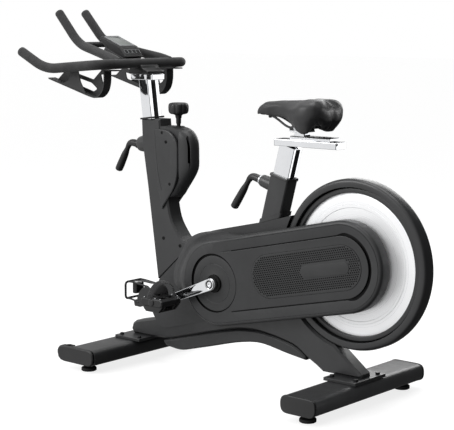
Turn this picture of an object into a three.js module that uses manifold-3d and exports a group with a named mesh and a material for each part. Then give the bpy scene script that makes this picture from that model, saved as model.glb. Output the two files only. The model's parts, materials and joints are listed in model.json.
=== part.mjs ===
// Indoor exercise bike with a rear flywheel turning inside a fixed ring.
// Millimetres, +Z up, +X towards the rear of the bike, -Y on the rider's left.
// X = 0 is at the crank axle before the last shift, and Z = 0 is the floor.
import * as THREE from 'three';
import { mergeVertices } from 'three/addons/utils/BufferGeometryUtils.js';
import Module from 'manifold-3d';

const wasm = await Module();
wasm.setup();

// ---------------------------------------------------------------- driving dimensions
const GAP = 0.3; // between pieces that touch
const WELD = 0.4; // how deep joined solids bite into each other
const SEAM = 1; // open line between two painted covers
const FINE = 1e-4; // vertices closer than this are one vertex

const CRANK = { x: 0, z: 313, length: 170, drop: 22, armInner: 81, armOuter: 95 }; // drop in degrees
const FLYWHEEL = { x: 491, z: 421, radius: 226, halfWidth: 15, faceRadius: 212, web: 7.5 };
const RING = { inner: 229.5, outer: 254, halfWidth: 25 };
const BODY = { halfInner: 27.3, halfOuter: 30.3 }; // side skins of the body
const BEAM_HALF = 27;
const PULLEY = { near: -47, far: -33, large: 84.5, small: 20, slack: 1.4 };
const COVER = { radius: 137, face: -72, wall: 3, rim: 13 };
const AXLE = { radius: 10, press: 10.4, bore: 11.2 }; // crank and flywheel axles, and the holes round them
const PANEL_RADIUS = 67;
const PANEL_END = { x: 218, z: 362 }; // the perforated panel's front end
const CRANK_DISC = 88;
const RIGHT_COVER = { radius: 122, face: 60 };

const COLUMN_LEAN = 7.5; // degrees, the top leans forward
const COLUMN_HALF = 30;
const FRONT_POST = { depth: 40, width: 52, top: 938, bottom: 505, atZ: 872, atX: -342 };
const HEAD = { front: -404, rear: -305, bottom: 937, top: 956, half: 28 };
const SEAT_LEAN = 15; // degrees, the top leans to the rear
const SEAT_TUBE = { depth: 70, width: 54, x: 219, z: 662.5, length: 405 };
const SEAT_POST = { depth: 59, width: 41 };
const SLIDER = { front: 197, rear: 430, bottom: 755, top: 776, half: 25 };

const STABILIZER = { half: 280, depth: 123, height: 52, middle: 51, cap: 10, wall: 4 };
const FRONT_FOOT_X = -399;
const REAR_FOOT_X = 498;
const FOOT_Y = 238.5;
const WHEEL = { x: -495, z: 50, radius: 24, y: 257, width: 22 };

const BAR_RADIUS = 16;
const BAR_HALF = 200; // half the distance between the horns
const AERO_RADIUS = 15;

const PEDAL = { inner: 106, outer: 196, half: 46, thick: 26 };
const REACH = 138; // toe cage, forward of the pedal axle

const ORIGIN_SHIFT_X = 1.95; // brings the middle of the whole box to X = 0

// ---------------------------------------------------------------- materials
function finish(colour, roughness, metalness) {
  return () => new THREE.MeshStandardMaterial({ color: colour, roughness, metalness });
}
const FINISH = {
  steel: finish(0x3a3a3c, 0.45, 0.5),
  plastic: finish(0x2c2c2e, 0.55, 0.0),
  chrome: finish(0xe6e7ea, 0.1, 1.0),
  disc: finish(0xd9dadd, 0.25, 1.0),
  foam: finish(0x232325, 0.9, 0.0),
  vinyl: finish(0x1f1f21, 0.5, 0.0),
  rubber: finish(0x161617, 0.85, 0.0),
  glass: finish(0x8c9188, 0.15, 0.0),
};

// ---------------------------------------------------------------- solids
function merged(geometry) {
  const bare = geometry.index ? geometry.toNonIndexed() : geometry.clone();
  bare.deleteAttribute('normal');
  bare.deleteAttribute('uv');
  const welded = mergeVertices(bare, FINE);
  const kept = [];
  const index = welded.index.array;
  for (let i = 0; i < index.length; i += 3) {
    const [a, b, c] = [index[i], index[i + 1], index[i + 2]];
    if (a !== b && b !== c && c !== a) kept.push(a, b, c);
  }
  welded.setIndex(kept);
  return welded;
}

function toSolid(geometry) {
  const welded = merged(geometry);
  return new wasm.Manifold(new wasm.Mesh({
    numProp: 3,
    vertProperties: Float32Array.from(welded.attributes.position.array),
    triVerts: Uint32Array.from(welded.index.array),
  }));
}

function toGeometry(solid) {
  const mesh = solid.getMesh();
  const geometry = new THREE.BufferGeometry();
  geometry.setAttribute('position', new THREE.BufferAttribute(mesh.vertProperties, 3));
  geometry.setIndex(new THREE.BufferAttribute(mesh.triVerts, 1));
  return geometry;
}

const join = (...parts) => toGeometry(parts.map(toSolid).reduce((a, b) => a.add(b)));
const cut = (body, ...tools) => toGeometry(tools.map(toSolid).reduce((a, b) => a.subtract(b), toSolid(body)));
const common = (a, b) => toGeometry(toSolid(a).intersect(toSolid(b)));

// The same solid on the other side of the bike.
function mirrored(geometry) {
  const copy = merged(geometry);
  copy.scale(1, -1, 1);
  const index = copy.index.array;
  for (let i = 0; i < index.length; i += 3) {
    [index[i + 1], index[i + 2]] = [index[i + 2], index[i + 1]];
  }
  return copy;
}

// ---------------------------------------------------------------- outlines, all in the XZ plane
const { degToRad: radians, smoothstep } = THREE.MathUtils;
const UP = new THREE.Vector3(0, 0, 1);

// A closed outline through [x, z, radius] corners; a corner's own radius wins over the common one.
function outline(corners, radius = 0) {
  const shape = new THREE.Shape();
  const count = corners.length;
  corners.forEach(([x, z, own = radius], i) => {
    const here = new THREE.Vector2(x, z);
    const ends = [corners[(i + count - 1) % count], corners[(i + 1) % count]].map(([ex, ez]) => {
      const side = new THREE.Vector2(ex, ez).sub(here);
      const reach = Math.min(own, side.length() * 0.49);
      return here.clone().addScaledVector(side.normalize(), reach);
    });
    if (i === 0) shape.moveTo(ends[0].x, ends[0].y);
    else shape.lineTo(ends[0].x, ends[0].y);
    if (own > 0) shape.quadraticCurveTo(x, z, ends[1].x, ends[1].y);
  });
  shape.closePath();
  return shape;
}

// The outline of a belt pulled round two circles.
function capsule(a, radiusA, b, radiusB) {
  const heading = Math.atan2(b.z - a.z, b.x - a.x);
  const spread = Math.acos((radiusA - radiusB) / Math.hypot(b.x - a.x, b.z - a.z));
  const shape = new THREE.Shape();
  shape.absarc(b.x, b.z, radiusB, heading - spread, heading + spread, false);
  shape.absarc(a.x, a.z, radiusA, heading + spread, heading - spread + 2 * Math.PI, false);
  shape.closePath();
  return shape;
}

const circle = (x, z, radius) => new THREE.Shape().absarc(x, z, radius, 0, 2 * Math.PI, false);

function box(depth, height, radius, x = 0, z = 0) {
  const [a, b] = [depth / 2, height / 2];
  return outline([[x - a, z - b], [x + a, z - b], [x + a, z + b], [x - a, z + b]], radius);
}

// ---------------------------------------------------------------- primitive bodies
// A plate whose outline lies in the XZ plane, from y = low to y = high, its rims rounded by edge.
function slab(shape, low, high, edge = 0, { edgeSteps = 1, curve = 3 } = {}) {
  const geometry = new THREE.ExtrudeGeometry(shape, {
    depth: high - low - 2 * edge,
    bevelEnabled: edge > 0,
    bevelThickness: edge,
    bevelSize: edge,
    bevelOffset: -edge,
    bevelSegments: edgeSteps,
    curveSegments: curve,
    steps: 1,
  });
  geometry.rotateX(Math.PI / 2);
  geometry.translate(0, high - edge, 0);
  return geometry;
}

// An upright bar: its section lies in the XY plane, from z = low to z = high.
function upright(shape, low, high, edge = 0, curve = 3) {
  const geometry = new THREE.ExtrudeGeometry(shape, {
    depth: high - low - 2 * edge,
    bevelEnabled: edge > 0,
    bevelThickness: edge,
    bevelSize: edge,
    bevelOffset: -edge,
    bevelSegments: 1,
    curveSegments: curve,
    steps: 1,
  });
  geometry.translate(0, 0, low + edge);
  return geometry;
}

// A profile of [radius, height] turned round the Y axis, or round direction when it is given.
function turned(profile, segments = 32, direction = null) {
  const geometry = new THREE.LatheGeometry(profile.map(([r, h]) => new THREE.Vector2(r, h)), segments);
  if (direction) {
    const turn = new THREE.Quaternion().setFromUnitVectors(new THREE.Vector3(0, 1, 0),
      direction.clone().normalize());
    geometry.applyQuaternion(turn);
  }
  return geometry;
}

function disc(x, z, radius, low, high, segments = 24, edge = 0) {
  const profile = edge > 0
    ? [[0, low], [radius - edge, low], [radius, low + edge], [radius, high - edge], [radius - edge, high],
      [0, high]]
    : [[0, low], [radius, low], [radius, high], [0, high]];
  return turned(profile, segments).translate(x, 0, z);
}

function rod(from, to, radiusFrom, radiusTo = radiusFrom, segments = 14) {
  const [a, b] = [new THREE.Vector3(...from), new THREE.Vector3(...to)];
  const along = b.clone().sub(a);
  const profile = [[0, 0], [radiusFrom, 0], [radiusTo, along.length()], [0, along.length()]];
  return turned(profile, segments, along).translate(a.x, a.y, a.z);
}

// A round tube through the given points, each inner point eased into a bend.
function bentTube(points, radius, bend, sides = 12, steps = 40) {
  const path = new THREE.CurvePath();
  const nodes = points.map((p) => new THREE.Vector3(...p));
  let start = nodes[0];
  for (let i = 1; i < nodes.length - 1; i += 1) {
    const into = nodes[i - 1].clone().sub(nodes[i]);
    const out = nodes[i + 1].clone().sub(nodes[i]);
    const reach = Math.min(bend, into.length() * 0.49, out.length() * 0.49);
    const bendStart = nodes[i].clone().addScaledVector(into.normalize(), reach);
    const bendEnd = nodes[i].clone().addScaledVector(out.normalize(), reach);
    path.add(new THREE.LineCurve3(start, bendStart));
    path.add(new THREE.QuadraticBezierCurve3(bendStart, nodes[i], bendEnd));
    start = bendEnd;
  }
  path.add(new THREE.LineCurve3(start, nodes[nodes.length - 1]));
  const section = new THREE.Shape();
  for (let i = 0; i < sides; i += 1) {
    const angle = (i / sides) * 2 * Math.PI;
    const [x, y] = [Math.cos(angle) * radius, Math.sin(angle) * radius];
    if (i === 0) section.moveTo(x, y);
    else section.lineTo(x, y);
  }
  section.closePath();
  return new THREE.ExtrudeGeometry(section, { extrudePath: path, steps, bevelEnabled: false });
}

// Turns geometry built upright about the Y axis through a point, top towards -X for a positive lean.
function leaned(geometry, degrees, x, z) {
  geometry.translate(-x, 0, -z);
  geometry.rotateY(-radians(degrees));
  geometry.translate(x, 0, z);
  return geometry;
}

// ---------------------------------------------------------------- the assembly
const bike = new THREE.Group();
bike.position.x = ORIGIN_SHIFT_X;

function add(name, geometry, material) {
  const mesh = new THREE.Mesh(geometry, material());
  mesh.name = name;
  bike.add(mesh);
}

function addPair(stem, geometry, material) {
  add(`left_${stem}`, geometry, material);
  add(`right_${stem}`, mirrored(geometry), material);
}

// Points on the ring's outer circle, from one angle to another in degrees.
function ringArc(radius, from, to, count) {
  return Array.from({ length: count + 1 }, (_, i) => {
    const angle = radians(from + ((to - from) * i) / count);
    return [FLYWHEEL.x + radius * Math.cos(angle), FLYWHEEL.z + radius * Math.sin(angle)];
  });
}

// ---------------------------------------------------------------- frame
const BEAM_BOTTOM = [[388, 86], [366, 100], [322, 123], [285, 149, 30], [210, 164], [134, 174, 30],
  [56, 168, 30], [-64, 138], [-233, 92]];

function mainBeam() {
  const corners = [[-404, 86], [-416, 100], [-409, 121], [-393, 132], [-311, 151], [-64, 212], [150, 262],
    [246, 304],
    ...ringArc(RING.outer + GAP, 208, 256, 10),
    [530, 98], [530, 86], ...BEAM_BOTTOM, [-330, 86]];
  const beam = slab(outline(corners), -BEAM_HALF, BEAM_HALF, 7);
  const inside = slab(outline([[-396, 100], [-386, 124], [-64, 204], [150, 252], [238, 284], [330, 214],
    [420, 166], [452, 156], [512, 96], [402, 94], [372, 108], [330, 130], [288, 158], [210, 174],
    [134, 184], [56, 178], [-64, 148], [-230, 103]]), -BEAM_HALF + 5, BEAM_HALF - 5);
  const drain = slab(box(16, 30, 0, 460, 84), -8, 8);
  const frontPlate = slab(box(112, 9.6, 0, -378, 82.1), -84, 84, 1);
  const rearPlate = slab(box(116, 9.6, 0, 489, 82.1), -78, 78, 1);
  return cut(join(beam, frontPlate, rearPlate), inside, drain);
}

function lowerCover() {
  const seam = BEAM_BOTTOM.slice(2).map(([x, z, r]) => [x, z - SEAM, r]);
  const corners = [...seam, [-268, 82], [-258, 66, 14], [-190, 59, 24], [-64, 92], [56, 125, 40],
    [144, 139, 40], [248, 120, 30], [324, 110]];
  return slab(outline(corners), -BEAM_HALF, BEAM_HALF, 5);
}

function stabilizer(x) {
  const end = STABILIZER.half - STABILIZER.cap - GAP;
  const { depth, height, middle, wall } = STABILIZER;
  const section = box(depth, height, 24, x, middle);
  section.holes.push(box(depth - 2 * wall, height - 2 * wall, 20, x, middle));
  return slab(section, -end, end, 0, { curve: 4 });
}

function rearEndCap() {
  const x = FLYWHEEL.x;
  const end = STABILIZER.half - STABILIZER.cap;
  const section = box(STABILIZER.depth + 2, STABILIZER.height + 2, 25, x, STABILIZER.middle);
  return slab(section, -STABILIZER.half, -end, 3, { curve: 4 });
}

// The front cap reaches forward round the transport wheel, which turns on a pin between two cheeks.
function frontEndCap() {
  const rear = FRONT_FOOT_X + STABILIZER.depth / 2 - 3;
  const corners = [[rear, 25, 24], [rear, 77, 24], [-506, 77, 30], [-506, 25, 30]];
  const cap = slab(outline(corners), -STABILIZER.half, -STABILIZER.half + STABILIZER.cap, 3);
  const cheekShape = outline([[-462, 30], [-462, 74], [-507, 74, 20], [-507, 30, 20]]);
  const innerLow = -WHEEL.y + WHEEL.width / 2 + 1.2;
  const inner = slab(cheekShape, innerLow, innerLow + 7, 1);
  const bridge = slab(box(7, 40, 0, -465.5, 52), -STABILIZER.half + 4, innerLow + 3, 0);
  const pin = disc(WHEEL.x, WHEEL.z, 4, -STABILIZER.half + 4, innerLow + 3, 12);
  return join(cap, inner, bridge, pin);
}

function transportWheel() {
  const [low, high] = [-WHEEL.y - WHEEL.width / 2, -WHEEL.y + WHEEL.width / 2];
  const profile = [[4.6, low + 3], [9, low], [21, low], [WHEEL.radius, low + 5], [WHEEL.radius, high - 5],
    [21, high], [9, high], [4.6, high - 3], [4.6, low + 3]];
  return turned(profile, 16).translate(WHEEL.x, 0, WHEEL.z);
}

function levellingFoot(x, y) {
  const top = STABILIZER.middle - STABILIZER.height / 2 - GAP;
  const profile = [[0, 0], [23, 0], [25, 2], [25, 9], [20, 13], [8, 15], [8, top], [0, top]];
  return turned(profile, 12, UP).translate(x, y, 0);
}

function wheelRing() {
  const { inner, outer, halfWidth: h } = RING;
  const profile = [[inner, -h], [outer - 9, -h], [outer - 2, -h + 7], [outer, -h + 14], [outer, h - 14],
    [outer - 2, h - 7], [outer - 9, h], [inner, h], [inner, -h]];
  return turned(profile, 44).translate(FLYWHEEL.x, 0, FLYWHEEL.z);
}

// ---------------------------------------------------------------- drive
function flywheel() {
  const { x, z, radius, halfWidth: h, faceRadius, web } = FLYWHEEL;
  const profile = [[AXLE.press, -26], [24, -26], [24, -web], [faceRadius, -web], [faceRadius, -h],
    [radius, -h], [radius, h], [faceRadius, h], [faceRadius, web], [24, web], [24, 26], [AXLE.press, 26],
      [AXLE.press, -26]];
  return turned(profile, 40).translate(x, 0, z);
}

function flywheelAxle() {
  return disc(FLYWHEEL.x, FLYWHEEL.z, AXLE.radius, -56, 44, 16);
}

function pulley(x, z, radius, bore, segments) {
  const { near, far } = PULLEY;
  const profile = [[bore, near], [radius, near], [radius, far], [bore, far], [bore, near]];
  return turned(profile, segments).translate(x, 0, z);
}

function driveBelt() {
  const { near, far, large, small, slack } = PULLEY;
  const thick = 2.4;
  const shape = capsule(CRANK, large + slack + thick, FLYWHEEL, small + slack + thick);
  shape.holes.push(capsule(CRANK, large + slack, FLYWHEEL, small + slack));
  return slab(shape, near + 2.3, far - 2.3, 0, { curve: 16 });
}

// Bottom bracket tube and the two side plates that hold the flywheel axle.
function driveFork() {
  const plates = [[-BODY.halfOuter, -BODY.halfInner], [BODY.halfInner, BODY.halfOuter]];
  const strap = capsule(CRANK, 34, FLYWHEEL, 30);
  const parts = plates.map(([low, high]) => slab(strap, low, high, 0, { curve: 5 }));
  const tube = disc(CRANK.x, CRANK.z, 24, -BODY.halfOuter + WELD, BODY.halfOuter - WELD, 20);
  const body = join(parts[0], tube, parts[1]);
  const crankBore = disc(CRANK.x, CRANK.z, AXLE.bore, -60, 60, 16);
  const wheelBore = disc(FLYWHEEL.x, FLYWHEEL.z, AXLE.bore, -60, 60, 16);
  return cut(body, crankBore, wheelBore);
}

function crankAxle() {
  return disc(CRANK.x, CRANK.z, AXLE.radius, -CRANK.armInner + GAP, CRANK.armInner - GAP, 16);
}

// A magnet on a short arm that swings beside the flywheel's rim.
function magnetArm() {
  const strap = slab(capsule({ x: 352, z: 391 }, 10, { x: 300, z: 379 }, 14), -24, -20, 0);
  const magnet = slab(box(34, 46, 0, 292, 377), -24, -16.2, 1);
  return join(strap, magnet);
}

function crankArm() {
  const end = pedalPoint(-1);
  const arm = slab(capsule(CRANK, 19, end, 13.5), -CRANK.armOuter, -CRANK.armInner, 3, { curve: 6 });
  const boss = disc(CRANK.x, CRANK.z, 15, -CRANK.armOuter - 3, -CRANK.armInner - 2, 18);
  const spindle = disc(end.x, end.z, 6.5, -PEDAL.outer + 12, -CRANK.armInner - 2, 14);
  const collar = disc(end.x, end.z, 10, -PEDAL.inner + 2, -CRANK.armInner - 4, 14);
  return join(arm, boss, spindle, collar);
}

// The left pedal is ahead of the crank axle and the right one behind it.
function pedalPoint(side) {
  const [dx, dz] = [Math.cos(radians(CRANK.drop)), Math.sin(radians(CRANK.drop))];
  return { x: CRANK.x + side * CRANK.length * dx, z: CRANK.z + side * CRANK.length * dz };
}

// Built round a pedal axle on the Y axis, on the left of the bike.
function pedalBody() {
  const { inner, outer, half, thick } = PEDAL;
  const [t, middle] = [thick / 2, thick / 2 - 6];
  const profile = outline([[-half, -middle], [-half + 10, -t], [half - 10, -t], [half, -middle],
    [half, middle], [half - 10, t], [-half + 10, t], [-half, middle]]);
  const body = slab(profile, -outer, -inner, 3);
  const windows = [-1, 1].flatMap((side) => [0, 1].map((row) => {
    const y = -inner - 13 - 36 * row;
    return slab(box(20, 60, 0, side * 24, 0), y - 26, y);
  }));
  const bore = disc(0, 0, 7.2, -outer + 8, -inner + 5, 16);
  return cut(body, ...windows, bore);
}

// The cage springs from the pedal's front edge: two arms, a front hoop and a bridge over the toes.
function toeCage() {
  const { inner, outer, half } = PEDAL;
  const [low, high] = [-outer + 6, -inner - 8];
  const wall = 4;
  const front = -REACH;
  const arm = outline([[-half - GAP, -9], [-half - GAP, 3], [-half - 30, 8], [front + 8, 36, 6],
    [front + 3, 61], [front, 61], [front, 2, 8], [-half - 34, -9]]);
  const arms = [slab(arm, low, low + wall), slab(arm, high - wall, high)];
  const bars = [
    [[-half - GAP, -9], [-half - GAP, -4], [-half - 26, -4], [-half - 30, -9]],
    [[front + 0.5, 55], [front + 0.5, 60.5], [front + 18, 60.5], [front + 18, 56]],
    [[front + 1, 6], [front + 1, 12], [front + 5, 12], [front + 5, 4]],
  ].map((corners) => slab(outline(corners), low + 1, high - 1));
  return join(...arms, ...bars);
}

// ---------------------------------------------------------------- body shells and covers
const SHELL_TOP = [[144, 513, 30], [108, 507, 30], [-58, 469, 40]];
const COLUMN_FOOT = [[-101, 449], [-279, 287]];

function shellOutline() {
  const arc = ringArc(RING.outer + 0.8, 208, 150, 14);
  return [...arc, ...SHELL_TOP, ...COLUMN_FOOT, [-288, 262, 20], [-296, 225, 30], [-318, 180, 24],
    [-296, 150, 6], [-278, 127, 14], [-250, 127, 8], [-143, 156, 20], [-64, 180, 30], [56, 205, 30],
    [246, 240, 10]];
}

function bodyShell() {
  const corners = shellOutline();
  const skin = slab(outline(corners), -BODY.halfOuter, -GAP / 2, 0);
  const room = outline([[232, 534, 4], [144, 509, 30], [108, 503, 30], [-56, 465, 40], [-99, 445],
    [-276, 284, 4], [-282, 258, 20], [-291, 225, 30], [-303, 192], [-340, 178], [-340, 100], [600, 100],
    [600, 534]]);
  const hollow = slab(room, -BODY.halfInner, 10, 0);
  const driveWindow = slab(capsule(CRANK, 114, { x: 700, z: 467 }, 114), -40, 10, 0, { curve: 12 });
  const seatTube = leanedBar(SEAT_TUBE.depth + 1.6, SEAT_TUBE.width + 0.8, 300, 700, 6);
  const root = outline([[-284, 288], [-103, 452], [-99, 446], [-101, 300], [-278.7, 200]]);
  const columnRoot = slab(root, -BODY.halfInner + 0.1, 10);
  return cut(skin, hollow, driveWindow, seatTube, columnRoot);
}

// A bar along the seat tube's axis between two heights.
function leanedBar(depth, width, low, high, corner) {
  const section = box(depth, width, corner, SEAT_TUBE.x, 0);
  return leaned(upright(section, low, high), -SEAT_LEAN, SEAT_TUBE.x, SEAT_TUBE.z);
}

function beltCover() {
  const { radius, face, wall, rim } = COVER;
  const back = -BODY.halfOuter - GAP;
  const edge = 10;
  const shape = capsule(CRANK, radius, FLYWHEEL, radius);
  const dome = slab(shape, face, back + edge, edge, { curve: 9 });
  const cheek = slab(outline([[-250, 300], [-104, 434], [20, 446], [20, 190], [-150, 205]]), -54, back, 12);
  const trim = slab(box(1600, 800, 0, 0, 300), -200, back, 0);
  const outer = common(join(dome, cheek), trim);
  const inside = slab(capsule(CRANK, radius - rim, FLYWHEEL, radius - rim), face + wall, 0, 0, { curve: 12 });
  const axleHole = disc(CRANK.x, CRANK.z, 28, -100, 0, 20);
  const pocketRadius = PANEL_RADIUS + 1;
  const pocket = slab(capsule(PANEL_END, pocketRadius, FLYWHEEL, pocketRadius),
    face - 5, face + 1.4, 0, { curve: 10 });
  const discPocket = disc(CRANK.x, CRANK.z, CRANK_DISC + 1.5, face - 5, face + 1.2, 36);
  return cut(outer, inside, axleHole, pocket, discPocket);
}

function crankCover() {
  const face = COVER.face;
  const [front, back] = [face - 1.4, face + 0.9];
  const profile = [[17, -79], [27, -79], [27, front], [CRANK_DISC, front], [CRANK_DISC, back], [17, back],
    [17, -79]];
  return turned(profile, 28).translate(CRANK.x, 0, CRANK.z);
}

function perforatedPanel() {
  const shape = capsule(PANEL_END, PANEL_RADIUS, FLYWHEEL, PANEL_RADIUS);
  return slab(shape, COVER.face - 1.2, COVER.face + 1, 0.8, { curve: 10 });
}

function rightCover() {
  const { radius, face } = RIGHT_COVER;
  const back = BODY.halfOuter + GAP;
  const shape = capsule(CRANK, radius, FLYWHEEL, radius);
  const outer = slab(shape, back - 10, face, 10, { curve: 10 });
  const trim = slab(box(1600, 800, 0, 0, 300), back, 200, 0);
  const { wall, rim } = COVER;
  const inside = slab(capsule(CRANK, radius - rim, FLYWHEEL, radius - rim), 0, face - wall, 0, { curve: 10 });
  const axleHole = disc(CRANK.x, CRANK.z, 17, 0, 100, 20);
  return cut(common(outer, trim), inside, axleHole);
}

// ---------------------------------------------------------------- front column
const COLUMN_FRONT = [[-357, 812], [-354, 730, 30], [-332, 600, 40], [-310, 448, 40], [-288, 287.6]];
const COLUMN_REAR = [[-101, 449.6], [-165, 409, 60], [-212, 465, 40], [-230, 498, 30], [-241, 552, 30],
  [-258, 640, 30], [-274, 812]];

function frontColumn() {
  const outer = slab(outline([...COLUMN_FRONT, [-280, 287.6], ...COLUMN_REAR]), -COLUMN_HALF, COLUMN_HALF, 5);
  const root = slab(outline([[-279, 292], [-276, 240], [-262, 175], [-190, 192], [-180, 385],
    [-230, 350]]), -22, 22);
  const room = slab(outline([[-348, 786], [-348, 730], [-326, 600], [-304, 448], [-282, 304], [-272, 302],
    [-140, 422], [-168, 402], [-217, 462], [-236, 496], [-247, 551], [-264, 640], [-280, 786]]),
    -COLUMN_HALF + 4, COLUMN_HALF - 4);
  const bore = leaned(upright(box(FRONT_POST.depth + 0.8, FRONT_POST.width + 0.8, 5, FRONT_POST.atX, 0),
    392, 1000),
    COLUMN_LEAN, FRONT_POST.atX, FRONT_POST.atZ);
  const boss = rod([-346, 0, 729], [-386, 0, 724], 28, 24, 24);
  const stud = rod([-384, 0, 724.3], [-392, 0, 723], 13, 13, 16);
  return cut(join(cut(outer, room), root, boss, stud), bore);
}

function columnCover() {
  const shape = outline([[-298, 782], [-222, 778, 24], [-186, 744, 24], [-186, 640, 30], [-198, 600, 30],
    [-262, 520], [-282, 600], [-296, 700]]);
  return slab(shape, -42, -COLUMN_HALF - GAP, 5, { edgeSteps: 2 });
}

// The bulge behind the column holds the resistance screw; it is open towards the column.
function resistanceHousing() {
  const side = outline([[-262, 790, 4], [-196, 789, 26], [-140, 750, 26], [-136, 656, 30], [-208, 562, 20],
    [-236, 556]]);
  const body = slab(side, -42, 42, 0);
  const plan = new THREE.Shape();
  plan.moveTo(-330, -42);
  plan.lineTo(-190, -42);
  plan.bezierCurveTo(-152, -38, -136, -24, -136, 0);
  plan.bezierCurveTo(-136, 24, -152, 38, -190, 42);
  plan.lineTo(-330, 42);
  plan.closePath();
  const rounded = common(body, upright(plan, 400, 900, 0, 6));
  const inner = outline([[-300, 786, 2], [-200, 785, 22], [-145, 748, 22], [-141, 658, 26],
    [-212, 568, 12], [-300, 568]]);
  const hollow = slab(inner, -26, 26, 0);
  const beside = [-1, 1].map((s) => slab(outline([[-400, 500], [-185.6, 500], [-185.6, 900], [-400, 900]]),
    s < 0 ? -60 : COLUMN_HALF, s < 0 ? -COLUMN_HALF : 60, 0));
  const inFront = outline([[-400, 500], [-229.5, 500], [-240.5, 552], [-257.5, 640], [-273.5, 815],
    [-400, 815]]);
  const column = slab(inFront, -60, 60, 0);
  const stem = rod([-217, 0, 700], [-217, 0, 900], 7, 7, 16);
  return cut(rounded, hollow, ...beside, column, stem);
}

// A lobed grip on a stem that reaches down into the housing.
function resistanceKnob() {
  const [lobes, mean, swell] = [8, 30.5, 2];
  const shape = new THREE.Shape();
  const count = lobes * 4;
  for (let i = 0; i < count; i += 1) {
    const angle = (i / count) * 2 * Math.PI;
    const reach = mean + swell * Math.cos(lobes * angle);
    const [x, y] = [Math.cos(angle) * reach, Math.sin(angle) * reach];
    if (i === 0) shape.moveTo(x, y);
    else shape.lineTo(x, y);
  }
  shape.closePath();
  const grip = upright(shape, 830, 867, 7);
  const stem = turned([[0, 745], [6, 745], [6, 797], [8, 800], [8, 822], [18, 824], [22, 832], [0, 832]],
    14, UP);
  return join(grip, stem).translate(-217, 0, 0);
}

// A cranked clamp lever: a threaded neck, a bend and a tapering grip that hangs from it.
function clampLever(neck, elbow, tip) {
  const barrel = rod(neck, elbow, 12, 11, 10);
  const knuckle = new THREE.SphereGeometry(13, 8, 6).translate(...elbow);
  const grip = rod(elbow, tip, 9, 11, 10);
  const end = new THREE.SphereGeometry(11, 8, 6).translate(...tip);
  return join(barrel, knuckle, grip, end);
}

// ---------------------------------------------------------------- seat
function seatTube() {
  const low = SEAT_TUBE.z - SEAT_TUBE.length;
  const top = SEAT_TUBE.z;
  const outer = leanedBar(SEAT_TUBE.depth, SEAT_TUBE.width, low, top, 9);
  const band = outline([[80, 504], [108, 508], [144, 514], [290, 558.5], [290, 571], [144, 527], [80, 517]]);
  const collar = common(leanedBar(SEAT_TUBE.depth + 8, SEAT_TUBE.width + 4, 440, 600, 10),
    slab(band, -60, 60));
  const bore = leanedBar(SEAT_POST.depth + 0.8, SEAT_POST.width + 0.8, low + 62, top + 50, 5);
  const normal = new THREE.Vector3(-Math.cos(radians(SEAT_LEAN)), 0, Math.sin(radians(SEAT_LEAN)));
  const face = new THREE.Vector3(SEAT_TUBE.x, 0, SEAT_TUBE.z).addScaledVector(normal, SEAT_TUBE.depth / 2)
    .addScaledVector(new THREE.Vector3(-Math.sin(radians(SEAT_LEAN)), 0, -Math.cos(radians(SEAT_LEAN))), 42);
  const at = (d) => face.clone().addScaledVector(normal, d).toArray();
  const boss = rod(at(-3), at(30), 20, 18, 20);
  const body = cut(join(outer, collar, boss), bore);
  return { body, at };
}

function seatPost() {
  const post = leanedBar(SEAT_POST.depth, SEAT_POST.width, SEAT_TUBE.z - 245, SEAT_TUBE.z + 100, 4);
  const { front, rear, bottom, top, half } = SLIDER;
  const tube = slab(box(rear - front, top - bottom, 0, (rear + front) / 2, (top + bottom) / 2), -half, half, 1.5);
  const above = slab(box(600, 100, 0, 250, top - 3 + 50), -60, 60, 0);
  return join(cut(post, above), tube);
}

function slideBlock() {
  const plate = slab(box(150, 9, 0, 332, 781), -24, 24, 1);
  const turret = slab(outline([[262, 784], [308, 784], [300, 800], [270, 800]]), -15, 15, 1);
  const cradle = slab(outline([[258, 799], [312, 799], [310, 806], [260, 806]]), -30, 30, 1);
  return join(plate, turret, cradle);
}

// Two wires under the saddle, joined at the nose.
function saddleRails() {
  const side = (s) => [[388, s * 50, 842], [352, s * 30, 818], [318, s * 22, 811.2], [250, s * 22, 811.2],
    [196, s * 16, 840], [150, s * 6, 850]];
  const wires = [-1, 1].map((s) => bentTube(side(s), 3.5, 22, 6, 16));
  const nose = rod([150, -8, 850], [150, 8, 850], 4.5, 4.5, 10);
  return join(...wires, nose);
}

// Half width, top and bottom of the saddle along its length, 0 at the nose and 1 at the tail.
const SADDLE = { nose: 110, tail: 408, halfWidth: 90 };
function saddleSection(t) {
  const swell = smoothstep(t, 0.28, 0.86);
  const tipEase = Math.sqrt(Math.min(1, t / 0.09));
  const tailEase = Math.sqrt(Math.max(0, Math.min(1, (1 - t) / 0.16)));
  const half = (24 + (SADDLE.halfWidth - 24) * swell) * (0.35 + 0.65 * tipEase) * (0.62 + 0.38 * tailEase);
  const top = 866 + 20 * tipEase + 12 * t + 5 * swell - 16 * (1 - tailEase);
  const skirt = 22 + 18 * smoothstep(t, 0.3, 0.6) + 14 * smoothstep(t, 0.6, 0.9);
  return { half, top, skirt };
}

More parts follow.
